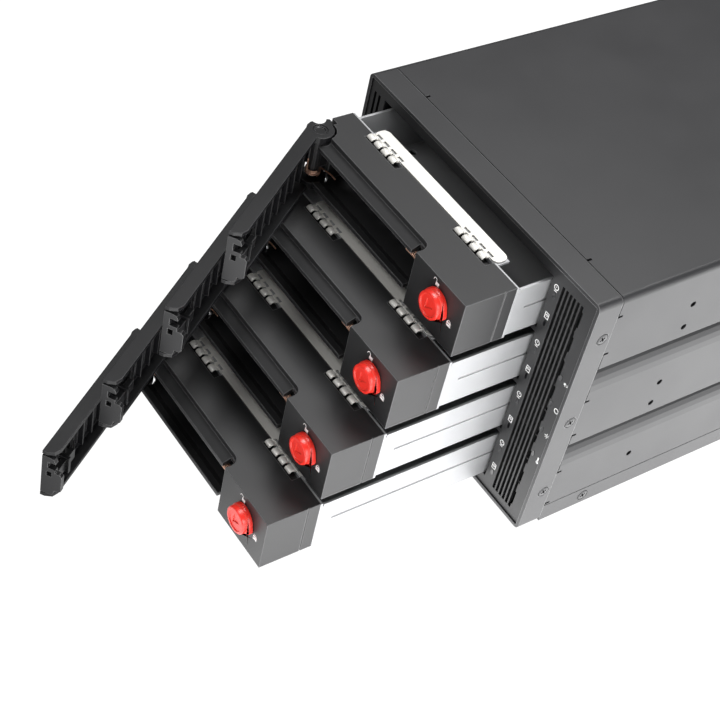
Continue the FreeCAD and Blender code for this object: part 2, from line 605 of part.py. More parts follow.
drive_sockets = [connector("drive_socket_%d" % tray, "socket_left", "socket_wide",
                           floor_of(tray) + " + socket_up", "socket_high",
                           "backplane_front - socket_deep", "socket_deep", "front") for tray in TRAYS]
subpart("drive_sockets", group("drive_socket_set", *drive_sockets))
data_ports = [connector("data_port_%d" % number, "port_left", "port_wide",
                        "port_first + %d * port_pitch" % number, "port_high",
                        BOARD_BACK, "port_deep", "rear") for number in range(4)]
subpart("data_ports", group("data_port_set", *data_ports))
power_ports = [connector("power_port_%d" % number, "port_left", "port_wide",
                         "power_first + %d * power_pitch" % number, "power_high",
                         BOARD_BACK, "port_deep", "rear") for number in range(2)]
subpart("power_ports", group("power_port_set", *power_ports))

PANEL_FRONT = "cage_depth - steel"


def panel_form(name, inset, start, end):
    """The rear panel's outline inside the shell and its grooves, carried from start to end."""
    outline = []
    for sign in (1, -1):
        edge = "%d * (%s - (%s))" % (sign, HALF, inset)
        eased = "%s - %d * panel_chamfer" % (edge, sign)
        side = [(edge, inset)] + grooved(sign, inset) + [
            (edge, "cage_height - (%s) - panel_chamfer" % inset), (eased, "cage_height - (%s)" % inset)]
        outline += side[::sign]
    return prism(name, "xz", outline, start, end)


panel_box = panel_form("panel_box", "steel + seam_gap", "cage_depth - panel_flange", "cage_depth")
panel_hollow = panel_form("panel_hollow", "2 * steel + seam_gap", "cage_depth - panel_flange - 1", PANEL_FRONT)
panel_cuts = [rod("panel_air", "y", "duct_radius - 1", ("fan_centre", "cage_depth - 3", "fan_up"), "5"),
              box("data_window", ("port_left - port_gap", "port_left + port_wide + port_gap"),
                  ("cage_depth - 3", "cage_depth + 2"),
                  ("port_first - port_gap", "port_first + 3 * port_pitch + port_high + port_gap")),
              box("power_window", ("port_left - port_gap", "port_left + port_wide + port_gap"),
                  ("cage_depth - 3", "cage_depth + 2"),
                  ("power_first - port_gap", "power_first + power_pitch + power_high + port_gap"))]
corners = [(i, j) for i in (-1, 1) for j in (-1, 1)]
for i, j in corners:
    panel_cuts.append(facets("panel_screw_%d%d" % (i + 1, j + 1), "y", 8, "fan_hole",
                             ("fan_centre + %d * fan_pitch / 2" % i, "cage_depth - 3",
                              "fan_up + %d * fan_pitch / 2" % j), "5"))
standoffs = [facets("standoff_%d%d" % (i + 1, j + 1), "y", 6, "standoff_radius",
                    ("%d * (%s - standoff_in)" % (i, PANEL_EDGE), BOARD_BACK,
                     "cage_height / 2 + %d * (cage_height / 2 - standoff_in - backplane_edge)" % j),
                    "%s - (%s)" % (PANEL_FRONT, BOARD_BACK)) for i, j in corners]
subpart("rear_panel", fuse("rear_panel_form", cut("panel_open", cut("panel_tray", panel_box, panel_hollow),
                                                  *panel_cuts), *standoffs))

# ---------------------------------------------------------------------------
# Rear fan: frame, bladed rotor, finger guard and screws, drawn round the fan's axis
# ---------------------------------------------------------------------------

HALF_FAN = "fan_size / 2"
BORE_END = "fan_deep - motor_thick"


def fan_corner(name, radius, start, length, i, j):
    return facets("%s_%d%d" % (name, i + 1, j + 1), "y", 8, radius,
                  ("%d * fan_pitch / 2" % i, start, "%d * fan_pitch / 2" % j), length)


def fan_flange(name, start, end):
    plate = box(name, ("-" + HALF_FAN, HALF_FAN), (start, end), ("-" + HALF_FAN, HALF_FAN))
    return rounded(name + "_corners", plate, "fan_flange", lambda middle, run: abs(run.y) > 0.99)


frame_solid = fuse("fan_casing", fan_flange("fan_front_flange", "0", "fan_flange"),
                   fan_flange("fan_rear_flange", "fan_deep - fan_flange", "fan_deep"),
                   rod("fan_barrel", "y", HALF_FAN + " - 0.2", ("0", "0", "0"), "fan_deep"))
bore = rod("fan_bore", "y", "duct_radius", ("0", "-1", "0"), "fan_deep + 2")
fan_holes = [fan_corner("fan_hole", "fan_hole", "-1", "fan_deep + 2", i, j) for i, j in corners]
struts = [turned("fan_strut_%d" % number, box(
    "fan_strut_bar_%d" % number, ("-strut_wide / 2", "strut_wide / 2"), (BORE_END, "fan_deep"),
    ("0", "duct_radius + 0.5")), "y", 45 + 90 * number) for number in range(4)]
motor_plate = rod("motor_plate", "y", "motor_radius", ("0", BORE_END, "0"), "motor_thick")
motor_bore = facets("motor_bore", "y", 12, "fan_shaft + shaft_gap", ("0", BORE_END + " - 1", "0"), "motor_thick")
frame_form = cut("fan_frame_form", fuse("fan_ducted", cut("fan_open", frame_solid, bore, *fan_holes),
                                        motor_plate, *struts), motor_bore)
fan_place = {"x": "fan_centre", "y": "cage_depth / 2", "z": "fan_up"}
subpart("fan_frame", frame_form, **fan_place)

# The rotor is a body: hub cup, shaft and one lofted blade repeated round the axis.
rotor = doc.addObject("PartDesign::Body", "Rotor")
origin = {item.Role: item for item in rotor.Origin.OriginFeatures}


def round_sketch(name, plane, radius, offset):
    sketch = rotor.newObject("Sketcher::SketchObject", name)
    sketch.AttachmentSupport = [(origin[plane], "")]
    sketch.MapMode = "FlatFace"
    bind(sketch, "AttachmentOffset.Base.z", offset)
    sketch.addGeometry(Part.Circle(V(), V(0, 0, 1), size(radius)), False)
    sketch.addConstraint(Sketcher.Constraint("Coincident", 0, 3, -1, 1))
    number = sketch.addConstraint(Sketcher.Constraint("Radius", 0, size(radius)))
    bind(sketch, "Constraints[%d]" % number, radius)
    return sketch


def rotor_pad(name, radius, start, length):
    """A round pad that starts at a distance behind the fan's front face."""
    pad = rotor.newObject("PartDesign::Pad", name)
    pad.Profile = round_sketch(name + "_sketch", "XZ_Plane", radius, "-(%s)" % start)
    pad.Reversed = True
    bind(pad, "Length", length)
    return pad


rotor_pad("Hub", "hub_radius", "hub_front", "hub_deep")
rotor_pad("Shaft", "fan_shaft", "hub_front + hub_deep - 1", BORE_END + " + motor_thick / 2 - hub_front - hub_deep + 1")
doc.recompute()


def blade_section(name, radius, twist):
    """A cambered blade section on the plane at right angles to a spoke."""
    sketch = rotor.newObject("Sketcher::SketchObject", name)
    sketch.AttachmentSupport = [(origin["YZ_Plane"], "")]
    sketch.MapMode = "FlatFace"
    bind(sketch, "AttachmentOffset.Base.z", radius)
    low = "hub_front + (hub_deep - blade_deep) / 2"
    rise = "blade_sweep * %s" % twist
    draw(sketch, [(low, "-(%s)" % rise), (low + " + 0.45 * blade_deep", "-0.35 * %s" % rise),
                  (low + " + blade_deep", rise), (low + " + blade_deep", rise + " - blade_thick"),
                  (low + " + 0.5 * blade_deep", "-0.35 * %s - 1.5 * blade_thick" % rise),
                  (low, "-(%s) - blade_thick / 2" % rise)])
    return sketch


blade = rotor.newObject("PartDesign::AdditiveLoft", "Blade")
blade.Profile = blade_section("BladeRoot", "hub_radius - 1", "twist_root")
blade.Sections = [blade_section("BladeMiddle", "(hub_radius + blade_tip) / 2", "twist_middle"),
                  blade_section("BladeTip", "blade_tip - 1", "twist_tip")]
blade.Ruled = True
doc.recompute()
ring = rotor.newObject("PartDesign::PolarPattern", "Blades")
ring.Originals = [blade]
ring.Axis = (origin["Y_Axis"], [""])
ring.Angle = 360
ring.Occurrences = BLADES
rotor.Tip = ring
subpart("fan_rotor", rotor, **fan_place)


def guard_ring(name, radius):
    """One ring of the finger guard, square in section."""
    outer = facets(name + "_outer", "y", 24, radius + " + guard_wire", ("0", "fan_deep", "0"), "2 * guard_wire")
    inner = facets(name + "_inner", "y", 24, radius + " - guard_wire", ("0", "fan_deep - 1", "0"),
                   "2 * guard_wire + 2")
    return cut(name, outer, inner)


hoops = [guard_ring("guard_ring_%d" % number, "guard_step * %d" % (number + 1)) for number in range(5)]
spokes = []
for number in range(4):
    arm = box("guard_arm_bar_%d" % number, ("-guard_wire", "guard_wire"),
              ("fan_deep + guard_wire", "fan_deep + 2.6 * guard_wire"),
              ("guard_step / 2", "fan_pitch * 0.7071"))
    spokes.append(turned("guard_arm_%d" % number, arm, "y", 45 + 90 * number))
feet = [fan_corner("guard_foot", "2.2 * fan_hole", "fan_deep", "2.6 * guard_wire", i, j) for i, j in corners]
foot_holes = [fan_corner("guard_foot_hole", "fan_hole", "fan_deep - 1", "5", i, j) for i, j in corners]
subpart("fan_guard", cut("guard_form", fuse("guard_wires", *(hoops + spokes + feet)), *foot_holes), **fan_place)
fan_screws = []
for i, j in corners:
    head_start = "fan_deep + 2.6 * guard_wire"
    fan_screws.append(fuse("fan_screw_%d%d" % (i + 1, j + 1),
                           fan_corner("fan_screw_head", "1.9 * fan_hole", head_start, "1.8", i, j),
                           fan_corner("fan_screw_shank", "fan_hole - 0.1", "-3 * steel",
                                      head_start + " + 3 * steel + 0.2", i, j)))
subpart("fan_screws", group("fan_screw_set", *fan_screws), **fan_place)

# ---------------------------------------------------------------------------
# Tray, drawn once and used by all four: folded pan, moulded front block, grounding strip
# ---------------------------------------------------------------------------

TRAY_RIGHT = "tray_left + block_width"
PAN_LEFT = "tray_left + pan_inset"
PAN_RIGHT = "tray_left + block_width - pan_inset"
PAN_FRONT = "block_deep + steel"
PAN_REAR = "block_deep + steel + pan_long"
PIVOT_X = "tray_left + hinge_in"
KNOB_FACE = "tray_left + block_width - knob_block"
KNOB_X = "tray_left + block_width - knob_right"


def common(name, first, second):
    shared = doc.addObject("Part::Common", name)
    shared.Base = first
    shared.Tool = second
    return shared


def air_slots(name, count, front, rear):
    """The row of upright air slots in the wall behind the door."""
    left = "tray_left + cavity_left + 2 + %d * air_pitch"
    return [box("%s_%d" % (name, i), (left % i, left % i + " + air_slot"), (front, rear),
                ("air_low", "air_low + air_high")) for i in range(count)]


wall_line = [(PAN_FRONT, "0"), (PAN_REAR, "0"), (PAN_REAR, "pan_wall - pan_chamfer"),
             (PAN_REAR + " - pan_chamfer", "pan_wall"), (PAN_FRONT + " + pan_relief", "pan_wall"),
             (PAN_FRONT + " + pan_relief", "pan_wall - pan_relief"), (PAN_FRONT, "pan_wall - pan_relief")]
pan_solids = [prism("pan_left_wall", "yz", wall_line, PAN_LEFT, PAN_LEFT + " + steel"),
              prism("pan_right_wall", "yz", wall_line, PAN_RIGHT + " - steel", PAN_RIGHT),
              box("pan_floor", (PAN_LEFT, PAN_RIGHT), (PAN_FRONT, PAN_REAR), ("0", "steel")),
              box("pan_front", ("tray_left", TRAY_RIGHT), ("block_deep", PAN_FRONT),
                  ("0", "block_high - strip_thick")),
              box("pan_top_flange", ("strip_left - 0.6", "strip_left + strip_long + 0.5"),
                  ("block_deep", "block_deep - 0.8 + strip_wide + 0.8"),
                  ("block_high - strip_thick - steel", "block_high - strip_thick"))]
pan_cuts = air_slots("pan_air", 8, "block_deep - 1", PAN_FRONT + " + 1")
for side, across in enumerate(((PAN_LEFT + " - 1", PAN_LEFT + " + rib_deep"),
                               (PAN_RIGHT + " - rib_deep", PAN_RIGHT + " + 1"))):
    pan_cuts.append(box("pan_groove_%d" % side, across, ("rib_start", PAN_REAR + " - 8"),
                        ("rib_up", "rib_up + rib_high")))
for column in (-1, 1):
    for row in (0, 1):
        across = "(%s + %s) / 2 + %d * drive_hole_wide / 2" % (PAN_LEFT, PAN_RIGHT, column)
        pan_cuts.append(facets("pan_hole_%d%d" % (column + 1, row), "z", 8, "drive_hole_radius",
                               (across, PAN_FRONT + " + drive_hole_front + %d * drive_hole_step" % row, "-1"),
                               "steel + 2"))
pan_form = cut("pan_form", fuse("pan_sheet", *pan_solids), *pan_cuts)

# The block: recesses above and below take the door's flanges, and a sloping ledge stands
# behind each. The right end is a hollow housing for the lock, and the hinge is at the left.

LEDGE_BACK = "door_flange + 0.8"
block_solid = box("block_solid", ("tray_left", TRAY_RIGHT), ("0", "block_deep"), ("0", "block_high"))
door_side = prism("door_side", "yz", [
    ("-1", "-1"), (LEDGE_BACK, "-1"), (LEDGE_BACK, "ledge_drop"), ("ledge_front", "ledge_drop"),
    ("ledge_front", "block_high - 4"), (LEDGE_BACK, "block_high - 4 + ledge_slope"),
    (LEDGE_BACK, "block_high + 1"), ("-1", "block_high + 1")], "tray_left - 1", KNOB_FACE)
door_plan = prism("door_plan", "xy", [
    ("tray_left - 2", "-2"), (KNOB_FACE, "-2"), (KNOB_FACE, LEDGE_BACK + " - recess_radius"),
    (KNOB_FACE + " - 0.3", LEDGE_BACK + " - 0.62 * recess_radius"),
    (KNOB_FACE + " - 0.29 * recess_radius", LEDGE_BACK + " - 0.29 * recess_radius"),
    (KNOB_FACE + " - 0.62 * recess_radius", LEDGE_BACK + " - 0.3"),
    (KNOB_FACE + " - recess_radius", LEDGE_BACK), ("tray_left - 2", LEDGE_BACK)], "-2", "block_high + 2")
cavity = prism("cavity", "yz", [
    ("-1", "ledge_drop + 1.9"), ("5", "ledge_drop + 1.9"), ("8", "front_wall"),
    ("cavity_deep", "front_wall"), ("cavity_deep", "block_high - front_wall"),
    ("8", "block_high - front_wall"), ("5", "block_high - 4 - ledge_thick"),
    ("-1", "block_high - 4 - ledge_thick")], "tray_left + cavity_left", KNOB_FACE)
ledge_notch = box("ledge_notch", (KNOB_FACE + " - ledge_end", KNOB_FACE), ("-1", LEDGE_BACK + " - 0.4"),
                  ("ledge_drop", "block_high - 4 + ledge_slope"))
hinge_front = box("hinge_front", ("tray_left - 1", PIVOT_X), ("-1", "hinge_back"), ("-1", "block_high + 1"))
POCKET = "knuckle_high + 0.4"
hinge_cuts = [hinge_front, facets("hinge_bay", "z", 16, "knuckle_radius + 0.3",
                                  (PIVOT_X, "hinge_back", "1"), "block_high - 2")]
for number, (low, high) in enumerate((("-1", POCKET), ("block_high - (%s)" % POCKET, "block_high + 1"))):
    hinge_cuts.append(facets("knuckle_pocket_%d" % number, "z", 16, "knuckle_radius + 0.9",
                             (PIVOT_X, "hinge_back", low), "(%s) - (%s)" % (high, low)))
    hinge_cuts.append(box("claw_pocket_%d" % number, ("tray_left - 1", PIVOT_X + " - 0.6"),
                          ("hinge_back", "hinge_back + claw_reach - 0.6"), (low, high)))
lock_room = box("lock_room", (KNOB_FACE + " + inner_wall", TRAY_RIGHT + " - inner_wall"),
                ("front_wall", "block_deep + 1"), ("inner_wall", "block_high - inner_wall"))
shaft_hole = facets("shaft_hole", "y", 12, "shaft_radius + 0.4", (KNOB_X, "-1", "knob_up"), "front_wall + 2")
bolt_window = box("bolt_window", (KNOB_FACE + " - 1", KNOB_FACE + " + inner_wall + 1"),
                  ("front_wall + 0.1", "front_wall + bolt_thick + 0.6"),
                  ("knob_up + tongue_low - 0.3", "knob_up + tongue_high + 0.3"))
side_line_cut = box("side_line_cut", (TRAY_RIGHT + " - 0.3", TRAY_RIGHT + " + 1"),
                    ("side_line", "side_line + side_line_wide"), ("-1", "block_high + 1"))
wells = [box("finger_well_%d" % i, (left + " - 1.7", left + " + 3 * finger_pitch + finger_wide + 1.1"),
             ("block_deep - finger_reach - 0.3", "block_deep + 1"), ("block_high - finger_well", "block_high + 1"))
         for i, left in enumerate(("finger_left", "finger_right"))]
block_cut = cut("block_cut", block_solid, common("door_room", door_side, door_plan), cavity,
                ledge_notch, lock_room, shaft_hole, bolt_window, side_line_cut, *(
                    hinge_cuts + wells + air_slots("block_air", 8, "cavity_deep - 1", "block_deep + 1")))
BOSS_LOW = "knuckle_high + 0.6"
BOSS_HIGH = "block_high - knuckle_high - 0.6"
COIL_HIGH = "hinge_coil_low + hinge_coil_turns * hinge_wire + 0.5"
boss = facets("hinge_boss", "z", 12, "boss_radius", (PIVOT_X, "hinge_back", BOSS_LOW),
              "%s - (%s)" % (BOSS_HIGH, BOSS_LOW))
web_x = (PIVOT_X + " - web_thick / 2", PIVOT_X + " + web_thick / 2")
web_y = ("hinge_back + boss_radius / 2", "hinge_back + knuckle_radius + 1")
web = box("hinge_web", web_x, web_y, (COIL_HIGH, BOSS_HIGH))
lock_ribs = [box("lock_rib_%d" % i, (KNOB_FACE + " + inner_wall / 2", TRAY_RIGHT + " - inner_wall / 2"),
                 ("front_wall / 2", "front_wall + bolt_thick + 0.3"), (low, low + " + 1.2"))
             for i, low in enumerate(("knob_up - 7.9", "knob_up + bolt_tall + 0.3"))]
coil_peg = facets("coil_peg", "x", 8, "peg_radius", (KNOB_FACE + " - 5.2", "coil_back", "coil_up"), "6.2")
block_form = cut("block_form", fuse("block_joined", block_cut, boss, web, coil_peg, *lock_ribs),
                 rod("pin_hole", "z", "pin_radius", (PIVOT_X, "hinge_back", "0"), "block_high"))

STRIP_LOW = "block_high - strip_thick"
strip_plate = rounded("strip_plate_round", box("strip_plate", ("strip_left", "strip_left + strip_long"),
                                               ("block_deep + 0.2", "block_deep + 0.2 + strip_wide"),
                                               (STRIP_LOW, "block_high")), "1.5",
                      lambda middle, run: abs(run.z) > 0.99 and middle.y > size("block_deep + 3"))
strip_slots = []
fingers = []
for bank, left in enumerate(("finger_left", "finger_right")):
    for number in range(4):
        start = "%s + %d * finger_pitch" % (left, number)
        fingers.append(prism("finger_%d%d" % (bank, number), "yz", [
            ("block_deep + 0.6", "block_high"), ("block_deep - 1.1", "block_high + 0.3"),
            ("block_deep - 2.6", "block_high - 0.3"), ("block_deep - 3.3", "block_high - 1.3"),
            ("block_deep - 3", "block_high - 1.5"), ("block_deep - 2.3", "block_high - 0.6"),
            ("block_deep - 1.1", "block_high - 0.1"), ("block_deep + 0.6", STRIP_LOW)],
            start, start + " + finger_wide"))
        strip_slots.append(box("strip_slot_%d%d" % (bank, number), (start, start + " + finger_wide"),
                               ("block_deep + 2.6", "block_deep + 3.5"), (STRIP_LOW + " - 1", "block_high + 1")))
strip_form = fuse("strip_form", cut("strip_slotted", strip_plate, *strip_slots), *fingers)

# ---------------------------------------------------------------------------
# Hinge pin and the two springs, each spring the many-sided sleeve that its coil fills
# ---------------------------------------------------------------------------

pin_form = fuse("pin_form", rod("pin_shank", "z", "pin_radius", ("0", "0", "0.3"), "block_high - 0.6"),
                facets("pin_top", "z", 16, "pin_head", ("0", "0", "block_high - 0.3 - pin_head_high"),
                       "pin_head_high"))


def sleeve(name, axis, inside, wire, turns, start):
    """The space that a coil of close turns fills, from a start height along +X or +Z."""
    foot = ("0", "0", start)
    outer = facets(name + "_outer", axis, 12, "%s + %s" % (inside, wire), foot, "%s * %s" % (turns, wire))
    inner = facets(name + "_inner", axis, 12, inside, foot, "%s * %s" % (turns, wire))
    return cut(name, outer, inner)


hinge_spring_form = sleeve("hinge_spring_form", "z", "hinge_coil", "hinge_wire", "hinge_coil_turns", "hinge_coil_low")
kick_spring_form = sleeve("kick_spring_form", "x", "coil_radius", "coil_wire", "coil_turns", "0")

# ---------------------------------------------------------------------------
# Door: a channel with knuckles at the left whose horns lever the tray in and out, and the
# sprung latch that slides in its right end. Drawn shut, round the hinge axis.
# ---------------------------------------------------------------------------

SKIN_BACK = "door_skin - door_face"
FLANGE_BACK = "door_flange - door_face"
FLANGE_LOW = "block_high - flange_thick"


def flange(name, end, low, radius):
    """A door flange in plan with its inner end corner eased by a radius."""
    outline = [("0", "-door_face"), (end, "-door_face"), (end, FLANGE_BACK + " - %s" % radius),
               (end + " - 0.29 * %s" % radius, FLANGE_BACK + " - 0.29 * %s" % radius),
               (end + " - %s" % radius, FLANGE_BACK), ("0", FLANGE_BACK)]
    return prism(name, "xy", outline, low, low + " + flange_thick")


door_skin = box("door_skin", ("-1", "skin_end"), ("-door_face", SKIN_BACK), ("0", "block_high"))
door_slots = []
for cell in range(8):
    for half in (0, 1):
        left = "cell_first + %d * cell_pitch + cell_rib / 2 + 0.75 + %d * 3.1" % (cell, half)
        if cell < 7 or half == 0:
            door_slots.append(box("door_slot_%d%d" % (cell, half), (left, left + " + cell_slot"),
                                  ("-door_face - 1", SKIN_BACK + " + 1"), ("4.6", "block_high - 5.4")))
door_parts = [cut("door_skin_slotted", door_skin, *door_slots),
              flange("door_top_flange", "door_long", FLANGE_LOW, "recess_radius"),
              flange("door_low_flange", "door_long", "0", "recess_radius")]
for cell in range(8):
    across = "cell_first + %d * cell_pitch - cell_rib / 2" % cell
    door_parts.append(prism("door_gusset_%d" % cell, "yz", [
        (SKIN_BACK + " - 0.2", "block_high - 3.4"), (SKIN_BACK + " + 2.8", FLANGE_LOW + " + 0.2"),
        (SKIN_BACK + " - 0.2", FLANGE_LOW + " + 0.2")], across, across + " + cell_rib"))
    if cell < 6:
        door_parts.append(box("door_rib_%d" % cell, (across, across + " + cell_rib"),
                              (SKIN_BACK + " - 0.2", SKIN_BACK + " + 2.3"), ("4.4", "block_high - 6")))
STEM_LOW = "stem_low + 1.4"
GUIDE_X = ("door_long - latch_thick - stem_guide_in", "door_long - latch_thick - stem_guide_in + stem_guide")
for number, low in enumerate((STEM_LOW + " - 1.5", STEM_LOW + " + stem_high + 0.3")):
    door_parts.append(box("stem_guide_%d" % number, GUIDE_X, (SKIN_BACK + " - 0.2", "0.7"),
                          (low, low + " + 1.2")))
door_parts.append(box("stem_bridge", GUIDE_X, ("-0.3", "0.7"),
                      (STEM_LOW + " - 1.5", STEM_LOW + " + stem_high + 1.5")))
horn_line = [("-1", "-door_face"), ("-4", "-2.5"), ("-5.6", "-0.3"), ("-7.3", "-0.5"), ("-7.9", "0.5"),
             ("-7.2", "1.7"), ("-4", "3.6"), ("0", "0"), ("3", "-door_face")]
for number, (low, high) in enumerate((("0", "knuckle_high"), ("block_high - knuckle_high", "block_high"))):
    door_parts.append(facets("knuckle_%d" % number, "z", 16, "knuckle_radius", ("0", "0", low),
                             "(%s) - (%s)" % (high, low)))
    door_parts.append(prism("horn_%d" % number, "xy", horn_line, low, high))
scallop = facets("ear_scallop", "z", 16, "scallop_radius", ("-scallop_out", "-scallop_front", "-1"), "block_high + 2")
door_form = cut("door_form", fuse("door_joined", *door_parts), scallop,
                rod("door_pin_hole", "z", "pin_radius + pin_gap", ("0", "0", "-1"), "block_high + 2"),
                facets("door_pin_recess", "z", 16, "pin_head + 0.2",
                       ("0", "0", "block_high - 0.3 - pin_head_high - 0.2"), "pin_head_high + 2"))

LATCH_LEFT = "door_long - latch_thick"
LATCH_LOW = "flange_thick + 0.5"
LATCH_BACK = "0.5"
COIL_ROOM = "(coil_radius + coil_wire + 0.3)"
NOTCH = ("coil_up - " + COIL_ROOM, "coil_up + " + COIL_ROOM)
NOTCH_FRONT = "coil_back - hinge_back - " + COIL_ROOM
latch_plate = prism("latch_plate", "yz", [
    ("-door_face", LATCH_LOW), ("0.5 - latch_round", LATCH_LOW),
    ("0.5 - 0.29 * latch_round", LATCH_LOW + " + 0.29 * latch_round"),
    (LATCH_BACK, LATCH_LOW + " + latch_round"), (LATCH_BACK, NOTCH[0]),
    (NOTCH_FRONT, NOTCH[0]), (NOTCH_FRONT, NOTCH[1]),
    (LATCH_BACK, NOTCH[1]), (LATCH_BACK, "latch_top - latch_round"),
    ("0.5 - 0.29 * latch_round", "latch_top - 0.29 * latch_round"),
    ("0.5 - latch_round", "latch_top"), ("-door_face", "latch_top")], LATCH_LEFT, "door_long")
latch_hook = prism("latch_hook", "yz", [
    ("-1", "hook_low"), ("hook_reach - 1", "hook_low"), ("hook_reach", "hook_low + 1"),
    ("hook_reach", "hook_low + hook_high - 1"), ("hook_reach - 1", "hook_low + hook_high"),
    ("-1", "hook_low + hook_high")], LATCH_LEFT, "door_long")
STEM_LEFT = "%s - stem_long" % LATCH_LEFT
stem = box("latch_stem", (STEM_LEFT, LATCH_LEFT + " + 0.5"), ("-0.6 - stem_thick", "-0.6"),
           (STEM_LOW, STEM_LOW + " + stem_high"))
leaf = prism("latch_leaf", "xy", [
    (STEM_LEFT + " + 0.4", "-0.6"), (STEM_LEFT + " - 3.6", "-2.8"), (STEM_LEFT + " - 3.2", "-3.3"),
    (STEM_LEFT + " + 0.4", "-1.4")], STEM_LOW, STEM_LOW + " + stem_high")
bolt_hole = box("latch_bolt_hole", (LATCH_LEFT + " - 1", "door_long + 1"),
                ("front_wall - hinge_back + 0.1", "front_wall + bolt_thick + 0.6 - hinge_back"),
                ("knob_up + tongue_low - 0.3", "knob_up + tongue_high + 0.3"))
latch_form = cut("latch_form", fuse("latch_joined", latch_plate, latch_hook, stem, leaf), bolt_hole)

# ---------------------------------------------------------------------------
# Lock: the knob turns a crank whose pin throws the bolt through the housing wall
# ---------------------------------------------------------------------------

KNOB_FRONT = "-0.3 - knob_high"
knob_head = cone("knob_bevel", "y", ("knob_radius - knob_bevel", "knob_radius"), ("0", KNOB_FRONT, "0"), "knob_bevel")
knob_barrel = rod("knob_barrel", "y", "knob_radius", ("0", KNOB_FRONT + " + knob_bevel", "0"), "knob_high - knob_bevel")
shaft = facets("knob_shaft", "y", 12, "shaft_radius", ("0", "-0.5", "0"), "front_wall + bolt_thick + 1.4")
arm = box("crank_arm", ("-shaft_radius", "shaft_radius"),
          ("front_wall + bolt_thick + 0.7", "front_wall + bolt_thick + 0.7 + crank_arm"),
          ("-crank - crank_pin - 0.6", "shaft_radius"))
pin = facets("crank_pin", "y", 12, "crank_pin", ("0", "front_wall + 0.5", "-crank"), "bolt_thick + 1")
arrow = prism("knob_arrow", "xz", [
    ("-arrow_size", "-0.6 * arrow_size"), ("arrow_size", "-0.6 * arrow_size"), ("0", "1.3 * arrow_size")],
    KNOB_FRONT + " - 1", KNOB_FRONT + " + arrow_deep")
knob_form = cut("knob_form", fuse("knob_joined", knob_head, knob_barrel, shaft, arm, pin), arrow)

BOLT_Y = ("front_wall + 0.3", "front_wall + 0.3 + bolt_thick")
BOLT_TIP = "0.6 - (knob_block - knob_right)"
bolt_solid = fuse("bolt_solid", box("bolt_tongue", (BOLT_TIP, "0"), BOLT_Y, ("tongue_low", "tongue_high")),
                  box("bolt_yoke", ("-5.5", "8"), BOLT_Y, ("-6.4", "bolt_tall")))
bolt_form = cut("bolt_form", bolt_solid,
                box("bolt_shaft_window", ("-shaft_radius - 0.4", "shaft_radius + crank + 0.5"), ("0", "8"),
                    ("-shaft_radius - 0.4", "shaft_radius + 0.4")),
                box("bolt_crank_slot", ("-crank_pin - crank_gap", "crank_pin + 0.2"), ("0", "8"),
                    ("-crank - crank_pin - 0.2", "0")))

# ---------------------------------------------------------------------------
# Four trays at different distances out of the cage, each with its door fully open
# ---------------------------------------------------------------------------


def out_of(tray):
    """How far the tray's block stands out of the bezel. Each tray is out further than the last."""
    return "(first_out + %d * out_step)" % (tray - 1)


for tray in TRAYS:
    name = "tray_%d_" % tray
    front = "-cage_depth / 2 - " + out_of(tray)
    on_tray = {"y": front, "z": floor_of(tray)}
    on_hinge = {"x": PIVOT_X, "y": front + " + hinge_back", "z": floor_of(tray)}
    on_knob = {"x": KNOB_X, "y": front, "z": floor_of(tray) + " + knob_up"}
    subpart(name + "pan", pan_form, **on_tray)
    subpart(name + "block", block_form, **on_tray)
    subpart(name + "ground_strip", strip_form, **on_tray)
    subpart(name + "hinge_pin", pin_form, **on_hinge)
    subpart(name + "hinge_spring", hinge_spring_form, **on_hinge)
    subpart(name + "kick_spring", kick_spring_form, x=KNOB_FACE + " - 4.8", y=front + " + coil_back",
            z=floor_of(tray) + " + coil_up")
    subpart(name + "door", door_form, turn="-door_open", **on_hinge)
    subpart(name + "latch", latch_form, turn="-door_open", **on_hinge)
    subpart(name + "knob", knob_form, **on_knob)
    subpart(name + "bolt", bolt_form, **on_knob)

# ---------------------------------------------------------------------------
# Check every object, then write one STEP file for each sub-part
# ---------------------------------------------------------------------------

doc.recompute()
doc.recompute()
faults = [thing.Name for thing in doc.Objects if "Invalid" in thing.State or "Error" in thing.State]
faults += [piece.Label for piece in SUBPARTS if piece.Shape.isNull() or not piece.Shape.isValid()]
if faults:
    raise RuntimeError("these objects failed: " + ", ".join(faults))
os.makedirs("parts", exist_ok=True)
for piece in SUBPARTS:
    piece.Shape.exportStep("parts/%s.step" % piece.Label)
print("%d sub-parts, %d solids" % (len(SUBPARTS), sum(len(piece.Shape.Solids) for piece in SUBPARTS)))
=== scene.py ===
import bpy
import math
import bmesh
from mathutils import Matrix, Vector


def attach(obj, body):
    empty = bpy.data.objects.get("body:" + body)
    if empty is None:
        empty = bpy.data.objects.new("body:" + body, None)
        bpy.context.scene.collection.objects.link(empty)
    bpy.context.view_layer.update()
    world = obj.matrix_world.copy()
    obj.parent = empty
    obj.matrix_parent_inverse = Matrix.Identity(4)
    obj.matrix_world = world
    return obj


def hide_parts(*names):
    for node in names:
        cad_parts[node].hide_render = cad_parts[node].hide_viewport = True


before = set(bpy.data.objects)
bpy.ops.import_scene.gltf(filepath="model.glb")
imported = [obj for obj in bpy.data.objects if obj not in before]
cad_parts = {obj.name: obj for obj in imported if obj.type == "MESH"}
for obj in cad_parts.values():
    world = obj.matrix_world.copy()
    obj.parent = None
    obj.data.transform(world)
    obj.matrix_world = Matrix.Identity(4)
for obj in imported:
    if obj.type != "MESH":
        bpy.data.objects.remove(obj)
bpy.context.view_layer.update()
bpy.ops.object.select_all(action="DESELECT")

# ---------------------------------------------------------------------------
# Table, studio lamps and camera.
# The cage stands on a white table that glows brightest to its right. Soft lamps light the
# tops, the right side and the front, and the camera looks down on the open doors.
# ---------------------------------------------------------------------------

